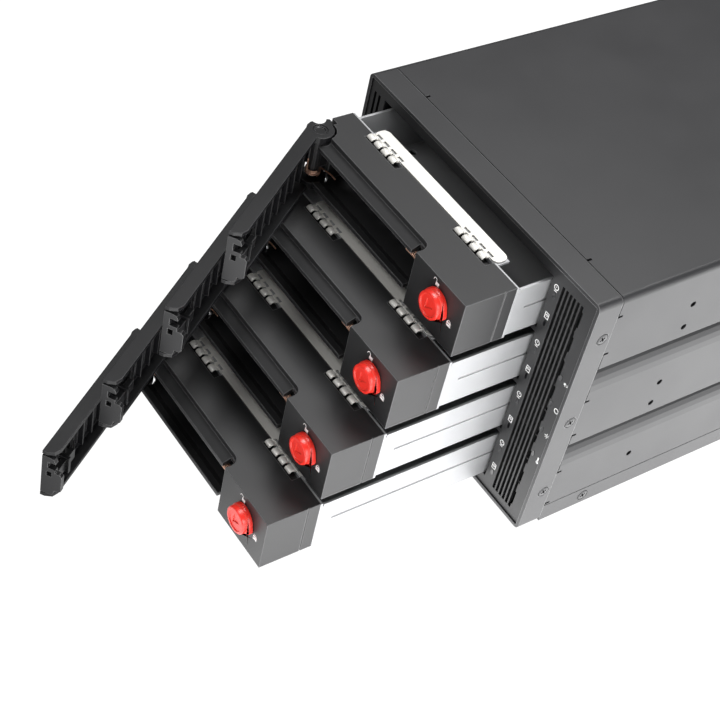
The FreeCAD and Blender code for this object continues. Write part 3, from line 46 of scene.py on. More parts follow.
TABLE_SIZE, TABLE_TOP = 12, -0.0002
TABLE_SURFACE = {"Base Color": (0.05, 0.05, 0.05, 1), "Roughness": 0.9,
                 "Specular IOR Level": 0.1, "Emission Color": (1, 1, 1, 1)}
GLOW_RAMP = {"From Min": -0.05, "From Max": 0.10, "To Min": 0.3, "To Max": 3.2}
GLOW_SEEN = 1.05
SKY = {"Color": (1, 1, 1, 1), "Strength": 0.16}
SENSOR_MM, LENS_MM = 36, 84.17
CAMERA_PLACE = (0.34297, -0.46004, 0.50918)
CAMERA_RIGHT = Vector((0.54801543, 0.81848409, 0.17251924))
CAMERA_DOWN = Vector((0.65765386, -0.29415292, -0.69351673))
CAMERA_AHEAD = Vector((-0.51688537, 0.49351582, -0.69947956))


def fill(node, values):
    """Set a node's inputs by their names."""
    for name, value in values.items():
        node.inputs[name].default_value = value


bpy.ops.mesh.primitive_plane_add(size=TABLE_SIZE, location=(0, 0, TABLE_TOP))
table = bpy.context.object
table.name = "table"
table_white = bpy.data.materials.new("table_white")
table_white.use_nodes = True
table_nodes, table_links = table_white.node_tree.nodes, table_white.node_tree.links
table_skin = table_nodes["Principled BSDF"]
fill(table_skin, TABLE_SURFACE)
table_places = table_nodes.new("ShaderNodeTexCoord")
split = table_nodes.new("ShaderNodeSeparateXYZ")
glow = table_nodes.new("ShaderNodeMapRange")
glow.interpolation_type = "SMOOTHSTEP"
fill(glow, GLOW_RAMP)
seen = table_nodes.new("ShaderNodeLightPath")
shown = table_nodes.new("ShaderNodeMix")
shown.inputs["B"].default_value = GLOW_SEEN
table_links.new(table_places.outputs["Object"], split.inputs["Vector"])
table_links.new(split.outputs["X"], glow.inputs["Value"])
table_links.new(seen.outputs["Is Camera Ray"], shown.inputs["Factor"])
table_links.new(glow.outputs["Result"], shown.inputs["A"])
table_links.new(shown.outputs["Result"], table_skin.inputs["Emission Strength"])
table.data.materials.append(table_white)

sky = bpy.data.worlds.new("studio_sky")
bpy.context.scene.world = sky
sky.use_nodes = True
fill(sky.node_tree.nodes["Background"], SKY)
bpy.context.scene.view_settings.view_transform = "Standard"


def lamp(name, place, aim, wide, high, watts):
    """A soft rectangular studio lamp that faces a point."""
    bpy.ops.object.light_add(type="AREA", location=place)
    light = bpy.context.object
    light.name = name
    light.data.shape = "RECTANGLE"
    light.data.size = wide
    light.data.size_y = high
    light.data.energy = watts
    light.rotation_euler = (Vector(aim) - Vector(place)).to_track_quat("-Z", "Y").to_euler()


lamp("right_lamp", (1.5, 0.15, 0.62), (0, 0, 0.05), 1.0, 0.8, 20)
lamp("top_lamp", (-0.35, 0.5, 1.6), (0, -0.05, 0.05), 0.8, 0.8, 22)
lamp("front_lamp", (-0.25, -1.0, 1.3), (0, -0.15, 0.05), 0.7, 0.7, 6)

bpy.ops.object.camera_add()
camera = bpy.context.object
camera.name = "camera"
camera.data.sensor_width = SENSOR_MM
camera.data.lens = LENS_MM
turn = Matrix((CAMERA_RIGHT, -CAMERA_DOWN, -CAMERA_AHEAD)).transposed().to_4x4()
camera.matrix_world = Matrix.Translation(CAMERA_PLACE) @ turn
bpy.context.scene.camera = camera

# ---------------------------------------------------------------------------
# Outer shell, base plate and rear panel.
# Folded steel sheet, sprayed with black powder coat: a fine even orange-peel grain, a
# little gloss, and edges painted lighter: wear where the coat pulls thin over the fold, and a
# painted highlight.
# ---------------------------------------------------------------------------

CLOUD_SCALE = 35
GRAIN_LIFT = 0.0001
ROUGHNESS_SWING = 0.12
EDGE_RAMP = {"From Min": 0.998, "From Max": 0.9}
COAT_ROUGHNESS = 0.2


def group_sockets(group, ins, outs):
    """Give a node group its named inputs and outputs and return its two end nodes."""
    for name, kind, value in ins:
        socket = group.interface.new_socket(name=name, in_out="INPUT", socket_type=kind)
        socket.default_value = value
    for name, kind in outs:
        group.interface.new_socket(name=name, in_out="OUTPUT", socket_type=kind)
    return group.nodes.new("NodeGroupInput"), group.nodes.new("NodeGroupOutput")


def math_step(tree, operation, *feeds):
    """Add a Math node fed by sockets or plain numbers and return its output."""
    step = tree.nodes.new("ShaderNodeMath")
    step.operation = operation
    for socket, feed in zip(step.inputs, feeds):
        if isinstance(feed, bpy.types.NodeSocket):
            tree.links.new(feed, socket)
        else:
            socket.default_value = feed
    return step.outputs[0]


# Grain: object-space noise that lifts the surface and mottles the colour a little.
grain = bpy.data.node_groups.new("moulded_grain", "ShaderNodeTree")
grain_in, grain_out = group_sockets(
    grain,
    (("Color", "NodeSocketColor", (0.02, 0.02, 0.02, 1)), ("Size mm", "NodeSocketFloat", 0.4),
     ("Depth", "NodeSocketFloat", 0.2), ("Mottle", "NodeSocketFloat", 0.1),
     ("Roughness", "NodeSocketFloat", 0.5), ("Normal", "NodeSocketVector", (0, 0, 0))),
    (("Color", "NodeSocketColor"), ("Roughness", "NodeSocketFloat"),
     ("Normal", "NodeSocketVector")))
places = grain.nodes.new("ShaderNodeTexCoord")
speck = grain.nodes.new("ShaderNodeTexNoise")
fill(speck, {"Detail": 3, "Roughness": 0.6})
fineness = math_step(grain, "DIVIDE", 1000, grain_in.outputs["Size mm"])
grain.links.new(places.outputs["Object"], speck.inputs["Vector"])
grain.links.new(fineness, speck.inputs["Scale"])
cloud = grain.nodes.new("ShaderNodeTexNoise")
fill(cloud, {"Scale": CLOUD_SCALE, "Detail": 2})
grain.links.new(places.outputs["Object"], cloud.inputs["Vector"])
lift = grain.nodes.new("ShaderNodeBump")
lift.inputs["Distance"].default_value = GRAIN_LIFT
grain.links.new(speck.outputs["Fac"], lift.inputs["Height"])
grain.links.new(grain_in.outputs["Depth"], lift.inputs["Strength"])
grain.links.new(grain_in.outputs["Normal"], lift.inputs["Normal"])
grain.links.new(lift.outputs["Normal"], grain_out.inputs["Normal"])
shade = math_step(grain, "ADD", speck.outputs["Fac"], cloud.outputs["Fac"])
swing = math_step(grain, "SUBTRACT", shade, 1)
spread = math_step(grain, "MULTIPLY_ADD", swing, grain_in.outputs["Mottle"], 1)
tint = grain.nodes.new("ShaderNodeVectorMath")
tint.operation = "SCALE"
grain.links.new(grain_in.outputs["Color"], tint.inputs[0])
grain.links.new(spread, tint.inputs["Scale"])
grain.links.new(tint.outputs[0], grain_out.inputs["Color"])
rough = math_step(grain, "MULTIPLY_ADD", swing, ROUGHNESS_SWING, grain_in.outputs["Roughness"])
grain.links.new(rough, grain_out.inputs["Roughness"])

# Eased edges: the surface direction averaged over a small radius, and how far it turned.
eased = bpy.data.node_groups.new("eased_edges", "ShaderNodeTree")
eased_in, eased_out = group_sockets(
    eased, (("Radius mm", "NodeSocketFloat", 0.3),),
    (("Normal", "NodeSocketVector"), ("Edge", "NodeSocketFloat")))
round_off = eased.nodes.new("ShaderNodeBevel")
round_off.samples = 6
radius_metres = math_step(eased, "MULTIPLY", eased_in.outputs["Radius mm"], 0.001)
eased.links.new(radius_metres, round_off.inputs["Radius"])
eased.links.new(round_off.outputs["Normal"], eased_out.inputs["Normal"])
flat_way = eased.nodes.new("ShaderNodeNewGeometry")
agree = eased.nodes.new("ShaderNodeVectorMath")
agree.operation = "DOT_PRODUCT"
eased.links.new(round_off.outputs["Normal"], agree.inputs[0])
eased.links.new(flat_way.outputs["Normal"], agree.inputs[1])
edge_ramp = eased.nodes.new("ShaderNodeMapRange")
fill(edge_ramp, EDGE_RAMP)
eased.links.new(agree.outputs["Value"], edge_ramp.inputs["Value"])
eased.links.new(edge_ramp.outputs["Result"], eased_out.inputs["Edge"])


def grained(name, color, size_mm, depth, mottle, roughness, radius_mm, edge_color, edge_mix,
            metallic=0.0, specular=0.5, coat=0.0):
    """A grained finish, its eased edges painted lighter: wear and a painted highlight. Returns
    the material.
    """
    finish = bpy.data.materials.new(name)
    finish.use_nodes = True
    tree = finish.node_tree
    skin = tree.nodes["Principled BSDF"]
    fill(skin, {"Metallic": metallic, "Specular IOR Level": specular, "Coat Weight": coat,
                "Coat Roughness": COAT_ROUGHNESS})
    edges = tree.nodes.new("ShaderNodeGroup")
    edges.node_tree = eased
    edges.inputs["Radius mm"].default_value = radius_mm
    texture = tree.nodes.new("ShaderNodeGroup")
    texture.node_tree = grain
    fill(texture, {"Size mm": size_mm, "Depth": depth, "Mottle": mottle, "Roughness": roughness})
    # Painted highlight: eased edges are mixed towards the lighter edge colour, standing for light
    # caught along the edges as well as wear.
    wear_and_highlight = tree.nodes.new("ShaderNodeMix")
    wear_and_highlight.data_type = "RGBA"
    wear_and_highlight.inputs["A"].default_value = (*color, 1)
    wear_and_highlight.inputs["B"].default_value = (*edge_color, 1)
    amount = math_step(tree, "MULTIPLY", edges.outputs["Edge"], edge_mix)
    tree.links.new(amount, wear_and_highlight.inputs["Factor"])
    tree.links.new(wear_and_highlight.outputs["Result"], texture.inputs["Color"])
    tree.links.new(edges.outputs["Normal"], texture.inputs["Normal"])
    tree.links.new(texture.outputs["Color"], skin.inputs["Base Color"])
    tree.links.new(texture.outputs["Roughness"], skin.inputs["Roughness"])
    tree.links.new(texture.outputs["Normal"], skin.inputs["Normal"])
    return finish


def dress(finish, *names):
    """Give CAD nodes a finish in every material slot."""
    for name in names:
        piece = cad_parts[name]
        if not piece.data.materials:
            piece.data.materials.append(finish)
        for slot in range(len(piece.data.materials)):
            piece.data.materials[slot] = finish


powder_coat = grained("powder_coat", (0.024, 0.024, 0.026), size_mm=0.5, depth=0.22, mottle=0.10,
                      roughness=0.42, radius_mm=0.3, edge_color=(0.10, 0.10, 0.105), edge_mix=0.5)
dress(powder_coat, "outer_shell", "base_plate", "rear_panel")

# ---------------------------------------------------------------------------
# Bezel frame.
# The ring round the front is a cast part with its own finer black coat. It stands over the
# shell's front edge, and its rounded lip shows as a light line: its eased edges are painted
# much lighter, a painted highlight with some wear.
# ---------------------------------------------------------------------------

bezel_coat = grained("bezel_coat", (0.026, 0.026, 0.028), size_mm=0.35, depth=0.15, mottle=0.08,
                     roughness=0.4, radius_mm=0.5, edge_color=(0.26, 0.26, 0.265), edge_mix=0.8)
dress(bezel_coat, "bezel_frame")

# ---------------------------------------------------------------------------
# Bezel and base screws.
# Short countersunk steel screws with a cross recess, coated with the parts that they hold.
# Three each side fix the bezel ring to the shell, and two each side the base plate's flange.
# ---------------------------------------------------------------------------

SIDE = 0.073
HEAD_RADIUS, HEAD_EDGE, HEAD_CROWN = 0.0027, 0.00035, 0.00018
SCREW_SUNK, SCREW_LONG, SHANK_EDGE = 0.0012, 0.0022, 0.0011
CROSS_ARM, CROSS_CORE = 0.0010, (0.0026, 0.0006, 0.0006)
CROSS_TURN = 0.5
BEZEL_SCREWS = ((-0.0877, 0.0202), (-0.0877, 0.0610), (-0.0877, 0.1058))
BASE_SCREWS = ((-0.0618, 0.0046), (0.055, 0.0046))
# A face whose normal goes this far along an axis counts as facing that way.
FACING = 0.9


def start(kind, name, place, turn=(0, 0, 0), scale=(1, 1, 1), **sizes):
    """Add a primitive at its size and place, alone in the selection, and return it."""
    bpy.ops.object.select_all(action="DESELECT")
    getattr(bpy.ops.mesh, "primitive_%s_add" % kind)(**sizes)
    piece = bpy.context.object
    piece.name = name
    piece.scale = scale
    bpy.ops.object.transform_apply(scale=True)
    piece.rotation_euler = turn
    piece.location = place
    bpy.ops.object.transform_apply()
    return piece


def pick(piece, test):
    """Open a piece in edit mode with only the faces that pass a test selected."""
    if piece.mode != "EDIT":
        bpy.ops.object.select_all(action="DESELECT")
        piece.select_set(True)
        bpy.context.view_layer.objects.active = piece
        bpy.ops.object.mode_set(mode="EDIT")
    bpy.ops.mesh.select_mode(type="FACE")
    bpy.ops.mesh.select_all(action="DESELECT")
    form = bmesh.from_edit_mesh(piece.data)
    for face in form.faces:
        face.select_set(test(face.calc_center_median(), face.normal))
    bmesh.update_edit_mesh(piece.data)


def work(piece, kind, **settings):
    """Add a modifier with its settings and apply it."""
    modifier = piece.modifiers.new(kind.lower(), kind)
    for name, value in settings.items():
        setattr(modifier, name, value)
    bpy.ops.object.select_all(action="DESELECT")
    piece.select_set(True)
    bpy.context.view_layer.objects.active = piece
    bpy.ops.object.modifier_apply(modifier=modifier.name)


def carve(piece, cutter):
    """Cut one shape out of a piece and throw the cutter away."""
    work(piece, "BOOLEAN", operation="DIFFERENCE", object=cutter, solver="EXACT")
    bpy.data.objects.remove(cutter, do_unlink=True)


def weld(piece, *others):
    """Join other shapes into a piece."""
    bpy.ops.object.select_all(action="DESELECT")
    for part in (piece, *others):
        part.select_set(True)
    bpy.context.view_layer.objects.active = piece
    bpy.ops.object.join()


def soften(piece, angle=35):
    """Shade a piece smooth except over edges sharper than an angle."""
    bpy.ops.object.select_all(action="DESELECT")
    piece.select_set(True)
    bpy.context.view_layer.objects.active = piece
    bpy.ops.object.shade_smooth_by_angle(angle=math.radians(angle))


def twin(piece, name, carry):
    """Copy a piece with its own mesh, carried by a matrix."""
    copy = piece.copy()
    copy.data = piece.data.copy()
    copy.name = name
    copy.data.transform(carry)
    bpy.context.collection.objects.link(copy)
    return copy


def seat(piece, finish, body, slot, *nodes):
    """Give a piece its finish, the body that it rides on and the nodes it replaces; slot is not
    used.
    """
    piece.data.materials.clear()
    piece.data.materials.append(finish)
    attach(piece, body)
    if nodes:
        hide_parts(*nodes)


screw = start("cylinder", "screw", (SIDE - SCREW_SUNK, 0, 0), (0, math.pi / 2, 0),
              vertices=32, radius=HEAD_RADIUS - HEAD_EDGE, depth=SCREW_LONG)
pick(screw, lambda middle, way: way.x > FACING)
bpy.ops.mesh.inset(thickness=HEAD_EDGE)
bpy.ops.transform.translate(value=(HEAD_CROWN, 0, 0))
pick(screw, lambda middle, way: way.x < -FACING)
bpy.ops.mesh.inset(thickness=SHANK_EDGE)
bpy.ops.mesh.extrude_region_move(TRANSFORM_OT_translate={"value": (-SCREW_LONG, 0, 0)})
bpy.ops.object.mode_set(mode="OBJECT")
recess = start("cube", "recess", (SIDE, 0, 0), (CROSS_TURN, 0, 0), CROSS_CORE, size=1)
pick(recess, lambda middle, way: abs(way.x) < FACING)
bpy.ops.mesh.extrude_faces_move(TRANSFORM_OT_shrink_fatten={"value": CROSS_ARM})
bpy.ops.object.mode_set(mode="OBJECT")
carve(screw, recess)
soften(screw)
screw_coat = grained("screw_coat", (0.034, 0.034, 0.036), size_mm=0.4, depth=0.06, mottle=0.08,
                     roughness=0.34, radius_mm=0.12, edge_color=(0.16, 0.16, 0.165), edge_mix=0.6,
                     metallic=0.3)
for node, places in (("bezel_screws", BEZEL_SCREWS), ("base_screws", BASE_SCREWS)):
    for number, (back, up) in enumerate(places, 1):
        for side, turn in (("right", 0), ("left", math.pi)):
            carry = Matrix.Translation((0, back, up)) @ Matrix.Rotation(turn, 4, "Z")
            copy = twin(screw, "%s_%s_%d" % (node, side, number), carry)
            seat(copy, screw_coat, "cage", "screw_black", node)
bpy.data.objects.remove(screw, do_unlink=True)

# ---------------------------------------------------------------------------
# Fascia panel, light pipes and their board.
# The fascia is moulded in black plastic with sharp louvre slots. The lamps are clear pipes
# that lead from chips on a narrow board behind it to holes no wider than a pin.
# ---------------------------------------------------------------------------

fascia_plastic = grained("fascia_plastic", (0.018, 0.018, 0.019), size_mm=0.3, depth=0.12,
                         mottle=0.08, roughness=0.45, radius_mm=0.2,
                         edge_color=(0.09, 0.09, 0.09), edge_mix=0.5)
dress(fascia_plastic, "fascia_panel")
clear_pipe = grained("clear_pipe", (0.05, 0.05, 0.055), size_mm=0.3, depth=0.05, mottle=0.03,
                     roughness=0.15, radius_mm=0.1, edge_color=(0.2, 0.2, 0.2), edge_mix=0.5,
                     coat=0.6)
dress(clear_pipe, "light_pipes")
board_green = grained("board_green", (0.015, 0.11, 0.045), size_mm=0.8, depth=0.05, mottle=0.12,
                      roughness=0.3, radius_mm=0.1, edge_color=(0.30, 0.28, 0.12), edge_mix=0.7,
                      coat=0.4)
dress(board_green, "lamp_board", "backplane_board")

# ---------------------------------------------------------------------------
# Printed symbols and lamp lenses.
# Plain white marks pad-printed on the fascia beside the lamps: a switch and a drive for each
# tray, and one for each state lamp. Every lamp shows as a small dished lens over its pipe.
# ---------------------------------------------------------------------------

TO_FRONT = (math.pi / 2, 0, 0)
INK = 0.00003
WIDE, THIN = 0.00034, 0.00026
SPEAKER_WIDE, TUBE_WIDE, BULB_WIDE = 0.0009, 0.0007, 0.0006
HOOP_CORNERS = 28
FASCIA_FACE = -0.0944
TRAYS = (1, 2, 3, 4)
TRAY_FLOOR, TRAY_PITCH = 0.0072, 0.0283
TRAY_LAMPS = [(tray, up) for tray in TRAYS for up in (0.0184, 0.0046)]
TRAY_LAMP_X, TRAY_MARK_X, MARK_ABOVE = 0.0507, 0.0506, 0.0036
STATE_LAMP_X, STATE_LAMPS = 0.0667, (0.0401, 0.0539, 0.0684, 0.0822)
STATE_MARK_X, STATE_MARK_TOP, STATE_MARK_PITCH = 0.0700, 0.0816, 0.0141
LENS_RADIUS, LENS_THICK, LENS_SUNK = 0.0007, 0.0005, 0.0001
LENS_STRETCH, LENS_RIM, LENS_DISH = (1.1, 1, 2.2, 1), 0.00015, 0.00004


def floor_of(tray):
    """How high the floor of a tray is."""
    return TRAY_FLOOR + TRAY_PITCH * (len(TRAYS) - tray)


def bar(start_x, start_z, end_x, end_z, wide):
    """A straight stroke of ink on the plane y = 0, in millimetres."""
    run = Vector((end_x - start_x, 0, end_z - start_z)) / 1000
    middle = Vector((start_x + end_x, 0, start_z + end_z)) / 2000
    stroke = start("plane", "stroke", middle, TO_FRONT, (run.length / 2, wide / 2, 1), size=2)
    lean = Matrix.Rotation(-math.atan2(run.z, run.x), 4, "Y")
    stroke.data.transform(Matrix.Translation(middle) @ lean @ Matrix.Translation(-middle))
    return stroke


def hoop(middle_x, middle_z, radius, wide, from_angle=0, to_angle=360):
    """An arc of ink on the plane y = 0, in millimetres and degrees."""
    middle = Vector((middle_x, 0, middle_z)) / 1000
    stroke = start("circle", "stroke", middle, TO_FRONT, vertices=HOOP_CORNERS,
                   radius=radius / 1000 - wide / 2, fill_type="NOTHING")
    bpy.ops.object.mode_set(mode="EDIT")
    bpy.ops.mesh.select_mode(type="VERT")
    bpy.ops.mesh.select_all(action="DESELECT")
    form = bmesh.from_edit_mesh(stroke.data)
    for corner in form.verts:
        reach = corner.co - middle
        angle = math.degrees(math.atan2(reach.z, reach.x)) % 360
        corner.select_set(not from_angle - 1 <= angle <= to_angle + 1)
    bmesh.update_edit_mesh(stroke.data)
    bpy.ops.mesh.delete(type="VERT")
    bpy.ops.mesh.select_all(action="SELECT")
    grow = 1 + wide / (radius / 1000 - wide / 2)
    bpy.ops.mesh.extrude_region_move()
    bpy.ops.transform.resize(value=(grow, 1, grow), center_override=middle)
    bpy.ops.object.mode_set(mode="OBJECT")
    return stroke


def mark(name, *strokes):
    """Weld strokes into one symbol, turn them all to the front and give the ink its thickness."""
    weld(*strokes)
    symbol = strokes[0]
    symbol.name = name
    bpy.ops.object.mode_set(mode="EDIT")
    bpy.ops.mesh.select_all(action="SELECT")
    bpy.ops.mesh.normals_make_consistent(inside=False)
    form = bmesh.from_edit_mesh(symbol.data)
    bmesh.ops.reverse_faces(form, faces=[face for face in form.faces if face.normal.y > 0])
    bmesh.update_edit_mesh(symbol.data)
    bpy.ops.object.mode_set(mode="OBJECT")
    work(symbol, "SOLIDIFY", thickness=INK, offset=1)
    return symbol


print_white = grained("print_white", (0.96, 0.96, 0.95), size_mm=0.15, depth=0.02, mottle=0.03,
                      roughness=0.5, radius_mm=0.02, edge_color=(1, 1, 1), edge_mix=0.1)
switch_mark = mark("switch_mark", hoop(0, 0.5, 1.1, WIDE), bar(0, 0.4, 0, 1.0, THIN),
                   bar(-0.8, -1.3, 0.8, -1.3, WIDE))
drive_mark = mark("drive_mark", bar(-0.95, -1.35, 0.95, -1.35, WIDE),
                  bar(-0.95, 1.35, 0.95, 1.35, WIDE), bar(-0.95, -1.55, -0.95, 1.55, WIDE),
                  bar(0.95, -1.55, 0.95, 1.55, WIDE), hoop(0, 0.2, 0.42, THIN))
lens = start("cylinder", "lens", (0, LENS_SUNK, 0), TO_FRONT,
             vertices=20, radius=LENS_RADIUS, depth=LENS_THICK)
lens.data.transform(Matrix.Diagonal(LENS_STRETCH))
pick(lens, lambda middle, way: way.y < -FACING)
bpy.ops.mesh.inset(thickness=LENS_RIM, depth=-LENS_DISH)
bpy.ops.object.mode_set(mode="OBJECT")
lens_glass = grained("lens_glass", (0.003, 0.003, 0.004), size_mm=0.3, depth=0.02, mottle=0.03,
                     roughness=0.12, radius_mm=0.05, edge_color=(0.02, 0.02, 0.02), edge_mix=0.3,
                     coat=0.7)
lens_places = [(TRAY_LAMP_X, floor_of(tray) + up) for tray, up in TRAY_LAMPS]
lens_places += [(STATE_LAMP_X, up) for up in STATE_LAMPS]
for number, (across, up) in enumerate(lens_places, 1):
    place = Matrix.Translation((across, FASCIA_FACE, up))
    seat(twin(lens, "lamp_lens_%d" % number, place), lens_glass, "cage", "lamp_pipe")
bpy.data.objects.remove(lens, do_unlink=True)
for number, (tray, up) in enumerate(TRAY_LAMPS, 1):
    symbol = switch_mark if number % 2 else drive_mark
    place = Matrix.Translation((TRAY_MARK_X, FASCIA_FACE, floor_of(tray) + up + MARK_ABOVE))
    seat(twin(symbol, "fascia_mark_%d" % number, place), print_white, "cage", "fascia_plastic")
sound_mark = mark("sound_mark", bar(-1.2, 0, -0.4, 0, SPEAKER_WIDE),
                  bar(-0.4, -0.8, -0.4, 0.8, WIDE), bar(0.3, -0.6, 1.3, 0.6, THIN),
                  bar(0.3, 0.6, 1.3, -0.6, THIN))
reset_mark = mark("reset_mark", hoop(0, 0, 1.05, WIDE, 0, 290), bar(0.5, -0.5, 1.4, -1.3, THIN),
                  bar(0.5, -1.1, 0.9, -0.2, THIN))
fan_mark = mark("fan_mark", bar(-1.3, 0, 1.3, 0, WIDE), bar(0, -1.3, 0, 1.3, WIDE),
                bar(-0.9, -0.9, 0.9, 0.9, THIN), hoop(0, 0, 0.5, WIDE))
heat_mark = mark("heat_mark", bar(0, -1.1, 0, 1.5, TUBE_WIDE), hoop(0, -1.1, 0.42, BULB_WIDE))
for number, symbol in enumerate((sound_mark, reset_mark, fan_mark, heat_mark)):
    up = STATE_MARK_TOP - STATE_MARK_PITCH * number
    place = Matrix.Translation((STATE_MARK_X, FASCIA_FACE, up))
    copy = twin(symbol, "state_mark_%d" % (number + 1), place)
    seat(copy, print_white, "cage", "fascia_plastic")
for symbol in (switch_mark, drive_mark, sound_mark, reset_mark, fan_mark, heat_mark):
    bpy.data.objects.remove(symbol, do_unlink=True)

# ---------------------------------------------------------------------------
# Guides, sockets and ports.
# Galvanised sheet guides with four rails each stand beside the trays. The backplane's black
# drive sockets and data ports and its pale nylon power ports are moulded plastic.
# ---------------------------------------------------------------------------

galvanised = grained("galvanised", (0.52, 0.53, 0.55), size_mm=6.0, depth=0.04, mottle=0.28,
                     roughness=0.36, radius_mm=0.2, edge_color=(0.75, 0.75, 0.76), edge_mix=0.5,
                     metallic=1.0)
dress(galvanised, "left_guide", "right_guide")
socket_black = grained("socket_black", (0.02, 0.02, 0.021), size_mm=0.25, depth=0.1, mottle=0.08,
                       roughness=0.5, radius_mm=0.15, edge_color=(0.07, 0.07, 0.07), edge_mix=0.4)
dress(socket_black, "drive_sockets", "data_ports")
nylon = grained("nylon", (0.66, 0.64, 0.56), size_mm=0.5, depth=0.06, mottle=0.05, roughness=0.42,
                radius_mm=0.2, edge_color=(0.8, 0.78, 0.7), edge_mix=0.4)
dress(nylon, "power_ports")

# ---------------------------------------------------------------------------
# Rear fan.
# A black moulded frame and seven-bladed rotor behind a bright wire guard, held by four long
# black screws that run through the frame into the rear panel.
# ---------------------------------------------------------------------------

fan_plastic = grained("fan_plastic", (0.021, 0.021, 0.022), size_mm=0.25, depth=0.08, mottle=0.06,
                      roughness=0.36, radius_mm=0.3, edge_color=(0.08, 0.08, 0.08), edge_mix=0.4)
dress(fan_plastic, "fan_frame", "fan_rotor")
bright_wire = grained("bright_wire", (0.62, 0.62, 0.63), size_mm=1.2, depth=0.04, mottle=0.08,
                      roughness=0.22, radius_mm=0.2, edge_color=(0.8, 0.8, 0.8), edge_mix=0.4,
                      metallic=1.0)
dress(bright_wire, "fan_guard")
screw_black = grained("screw_black", (0.045, 0.045, 0.047), size_mm=0.3, depth=0.08, mottle=0.1,
                      roughness=0.34, radius_mm=0.15, edge_color=(0.3, 0.3, 0.3), edge_mix=0.5,
                      metallic=0.8)
dress(screw_black, "fan_screws")

# ---------------------------------------------------------------------------
# The four trays.
# Each tray is a bright stamped steel pan with a moulded black block across its front. The
# block carries a black lever door, which has a sprung latch, and a steel lock bolt.
# ---------------------------------------------------------------------------

TRAY_FRONT, TRAY_STEP = -0.1342, 0.0228
bright_steel = grained("bright_steel", (0.44, 0.445, 0.455), size_mm=5.0, depth=0.05, mottle=0.10,
                       roughness=0.5, radius_mm=0.3, edge_color=(0.80, 0.80, 0.81), edge_mix=0.6,
                       metallic=0.5)
# Painted highlight: the block's and the door's lighter edge colours stand for light along their
# eased edges as much as wear.
block_plastic = grained("block_plastic", (0.022, 0.022, 0.023), size_mm=0.35, depth=0.16,
                        mottle=0.08, roughness=0.44, radius_mm=0.6,
                        edge_color=(0.20, 0.20, 0.205), edge_mix=0.7, specular=0.42)
door_plastic = grained("door_plastic", (0.006, 0.006, 0.007), size_mm=0.35, depth=0.08,
                       mottle=0.08, roughness=0.36, radius_mm=0.45,
                       edge_color=(0.07, 0.07, 0.072), edge_mix=0.6, specular=0.4)
latch_plastic = grained("latch_plastic", (0.012, 0.012, 0.013), size_mm=0.3, depth=0.06,
                        mottle=0.06, roughness=0.3, radius_mm=0.35, edge_color=(0.22, 0.22, 0.22),
                        edge_mix=0.6)
for tray in TRAYS:
    name = "tray_%d_" % tray
    dress(bright_steel, name + "pan", name + "bolt")
    dress(block_plastic, name + "block")
    dress(door_plastic, name + "door")
    dress(latch_plastic, name + "latch")


def tray_place(tray):
    """Where a tray's block has its front face and its underside."""
    return Matrix.Translation((0, TRAY_FRONT - TRAY_STEP * (tray - 1), floor_of(tray)))


def in_each_tray(piece, kind, finish, slot, replaced, body="tray_%d"):
    """Set a copy of a piece in every tray and throw the pattern away."""
    for tray in TRAYS:
        copy = twin(piece, "tray_%d_%s" % (tray, kind), tray_place(tray))
        nodes = ["tray_%d_%s" % (tray, replaced)] if replaced else []
        seat(copy, finish, body % tray, slot, *nodes)
    bpy.data.objects.remove(piece, do_unlink=True)


# ---------------------------------------------------------------------------
# Door webs.
# Between a door's two knuckles its skin runs on towards the hinge as a narrow moulded web, so
# that no light shows past the boss. It is rounded along its free edge.
# ---------------------------------------------------------------------------

HINGE = Vector((-0.0562, 0.0056, 0))
DOOR_OPEN = math.radians(-55.6)
WEB_OFF_HINGE = Vector((-0.0020, -0.0041, 0.01445))
WEB_SIZE, WEB_EDGE = (0.0026, 0.0022, 0.0149), 0.0005
web = start("cube", "web", HINGE + WEB_OFF_HINGE, scale=WEB_SIZE, size=1)
pick(web, lambda middle, way: way.x < -FACING)
bpy.ops.mesh.bevel(offset=WEB_EDGE, segments=3, affect="EDGES")
bpy.ops.object.mode_set(mode="OBJECT")
web.data.transform(Matrix.Translation(HINGE) @ Matrix.Rotation(DOOR_OPEN, 4, "Z")
                   @ Matrix.Translation(-HINGE))
soften(web)
in_each_tray(web, "door_web", door_plastic, "door_plastic", None, "door_%d")

# ---------------------------------------------------------------------------
# Lock knobs and their symbols.
# A red moulded knob in each block: a dished disc with a raised rim and a sunk arrowhead, on a
# collar whose beak points at the closed padlock. The two padlocks are printed in white.
# ---------------------------------------------------------------------------

KNOB_X, KNOB_UP = 0.0333, 0.0150
KNOB_CORNERS, KNOB_LAYER, KNOB_EDGE = 56, 0.0022, 0.0005
DISC_Y, DISC_RADIUS, DISC_RIM = -0.0033, 0.0057, 0.0006
DISH_SLOPE, DISH_DEEP = 0.0003, 0.0004
DISH_MIDDLE, SQUARE_ON = 0.0004, 0.99
ARROW_Y, ARROW_OFF = -0.0043, 0.0002
ARROW_RADIUS, ARROW_DEEP, ARROW_TURN = 0.0027, 0.0014, -0.5
COLLAR_Y, COLLAR_RADIUS = -0.0013, 0.0061
BEAK_WAY, BEAK_SPREAD = Vector((0.91, 0, -0.41)), 0.80
BEAK_LONG, BEAK_TAPER = 0.0014, (0.5, 1, 0.5)
STALK_Y, STALK_RADIUS, STALK_LONG = 0.0018, 0.0019, 0.0046
STALK_EDGE, STALK_TIP = 0.0004, 0.0003
LOCK_FOOT, LOCK_TOP, LOCK_SIDE = 0.0009, 0.0006, 0.0007
OPEN_LOCK_BODY = 0.0016
SHUT_LOCK_PLACE, OPEN_LOCK_PLACE = (0.0415, 0, 0.0113), (0.0308, 0, 0.0226)
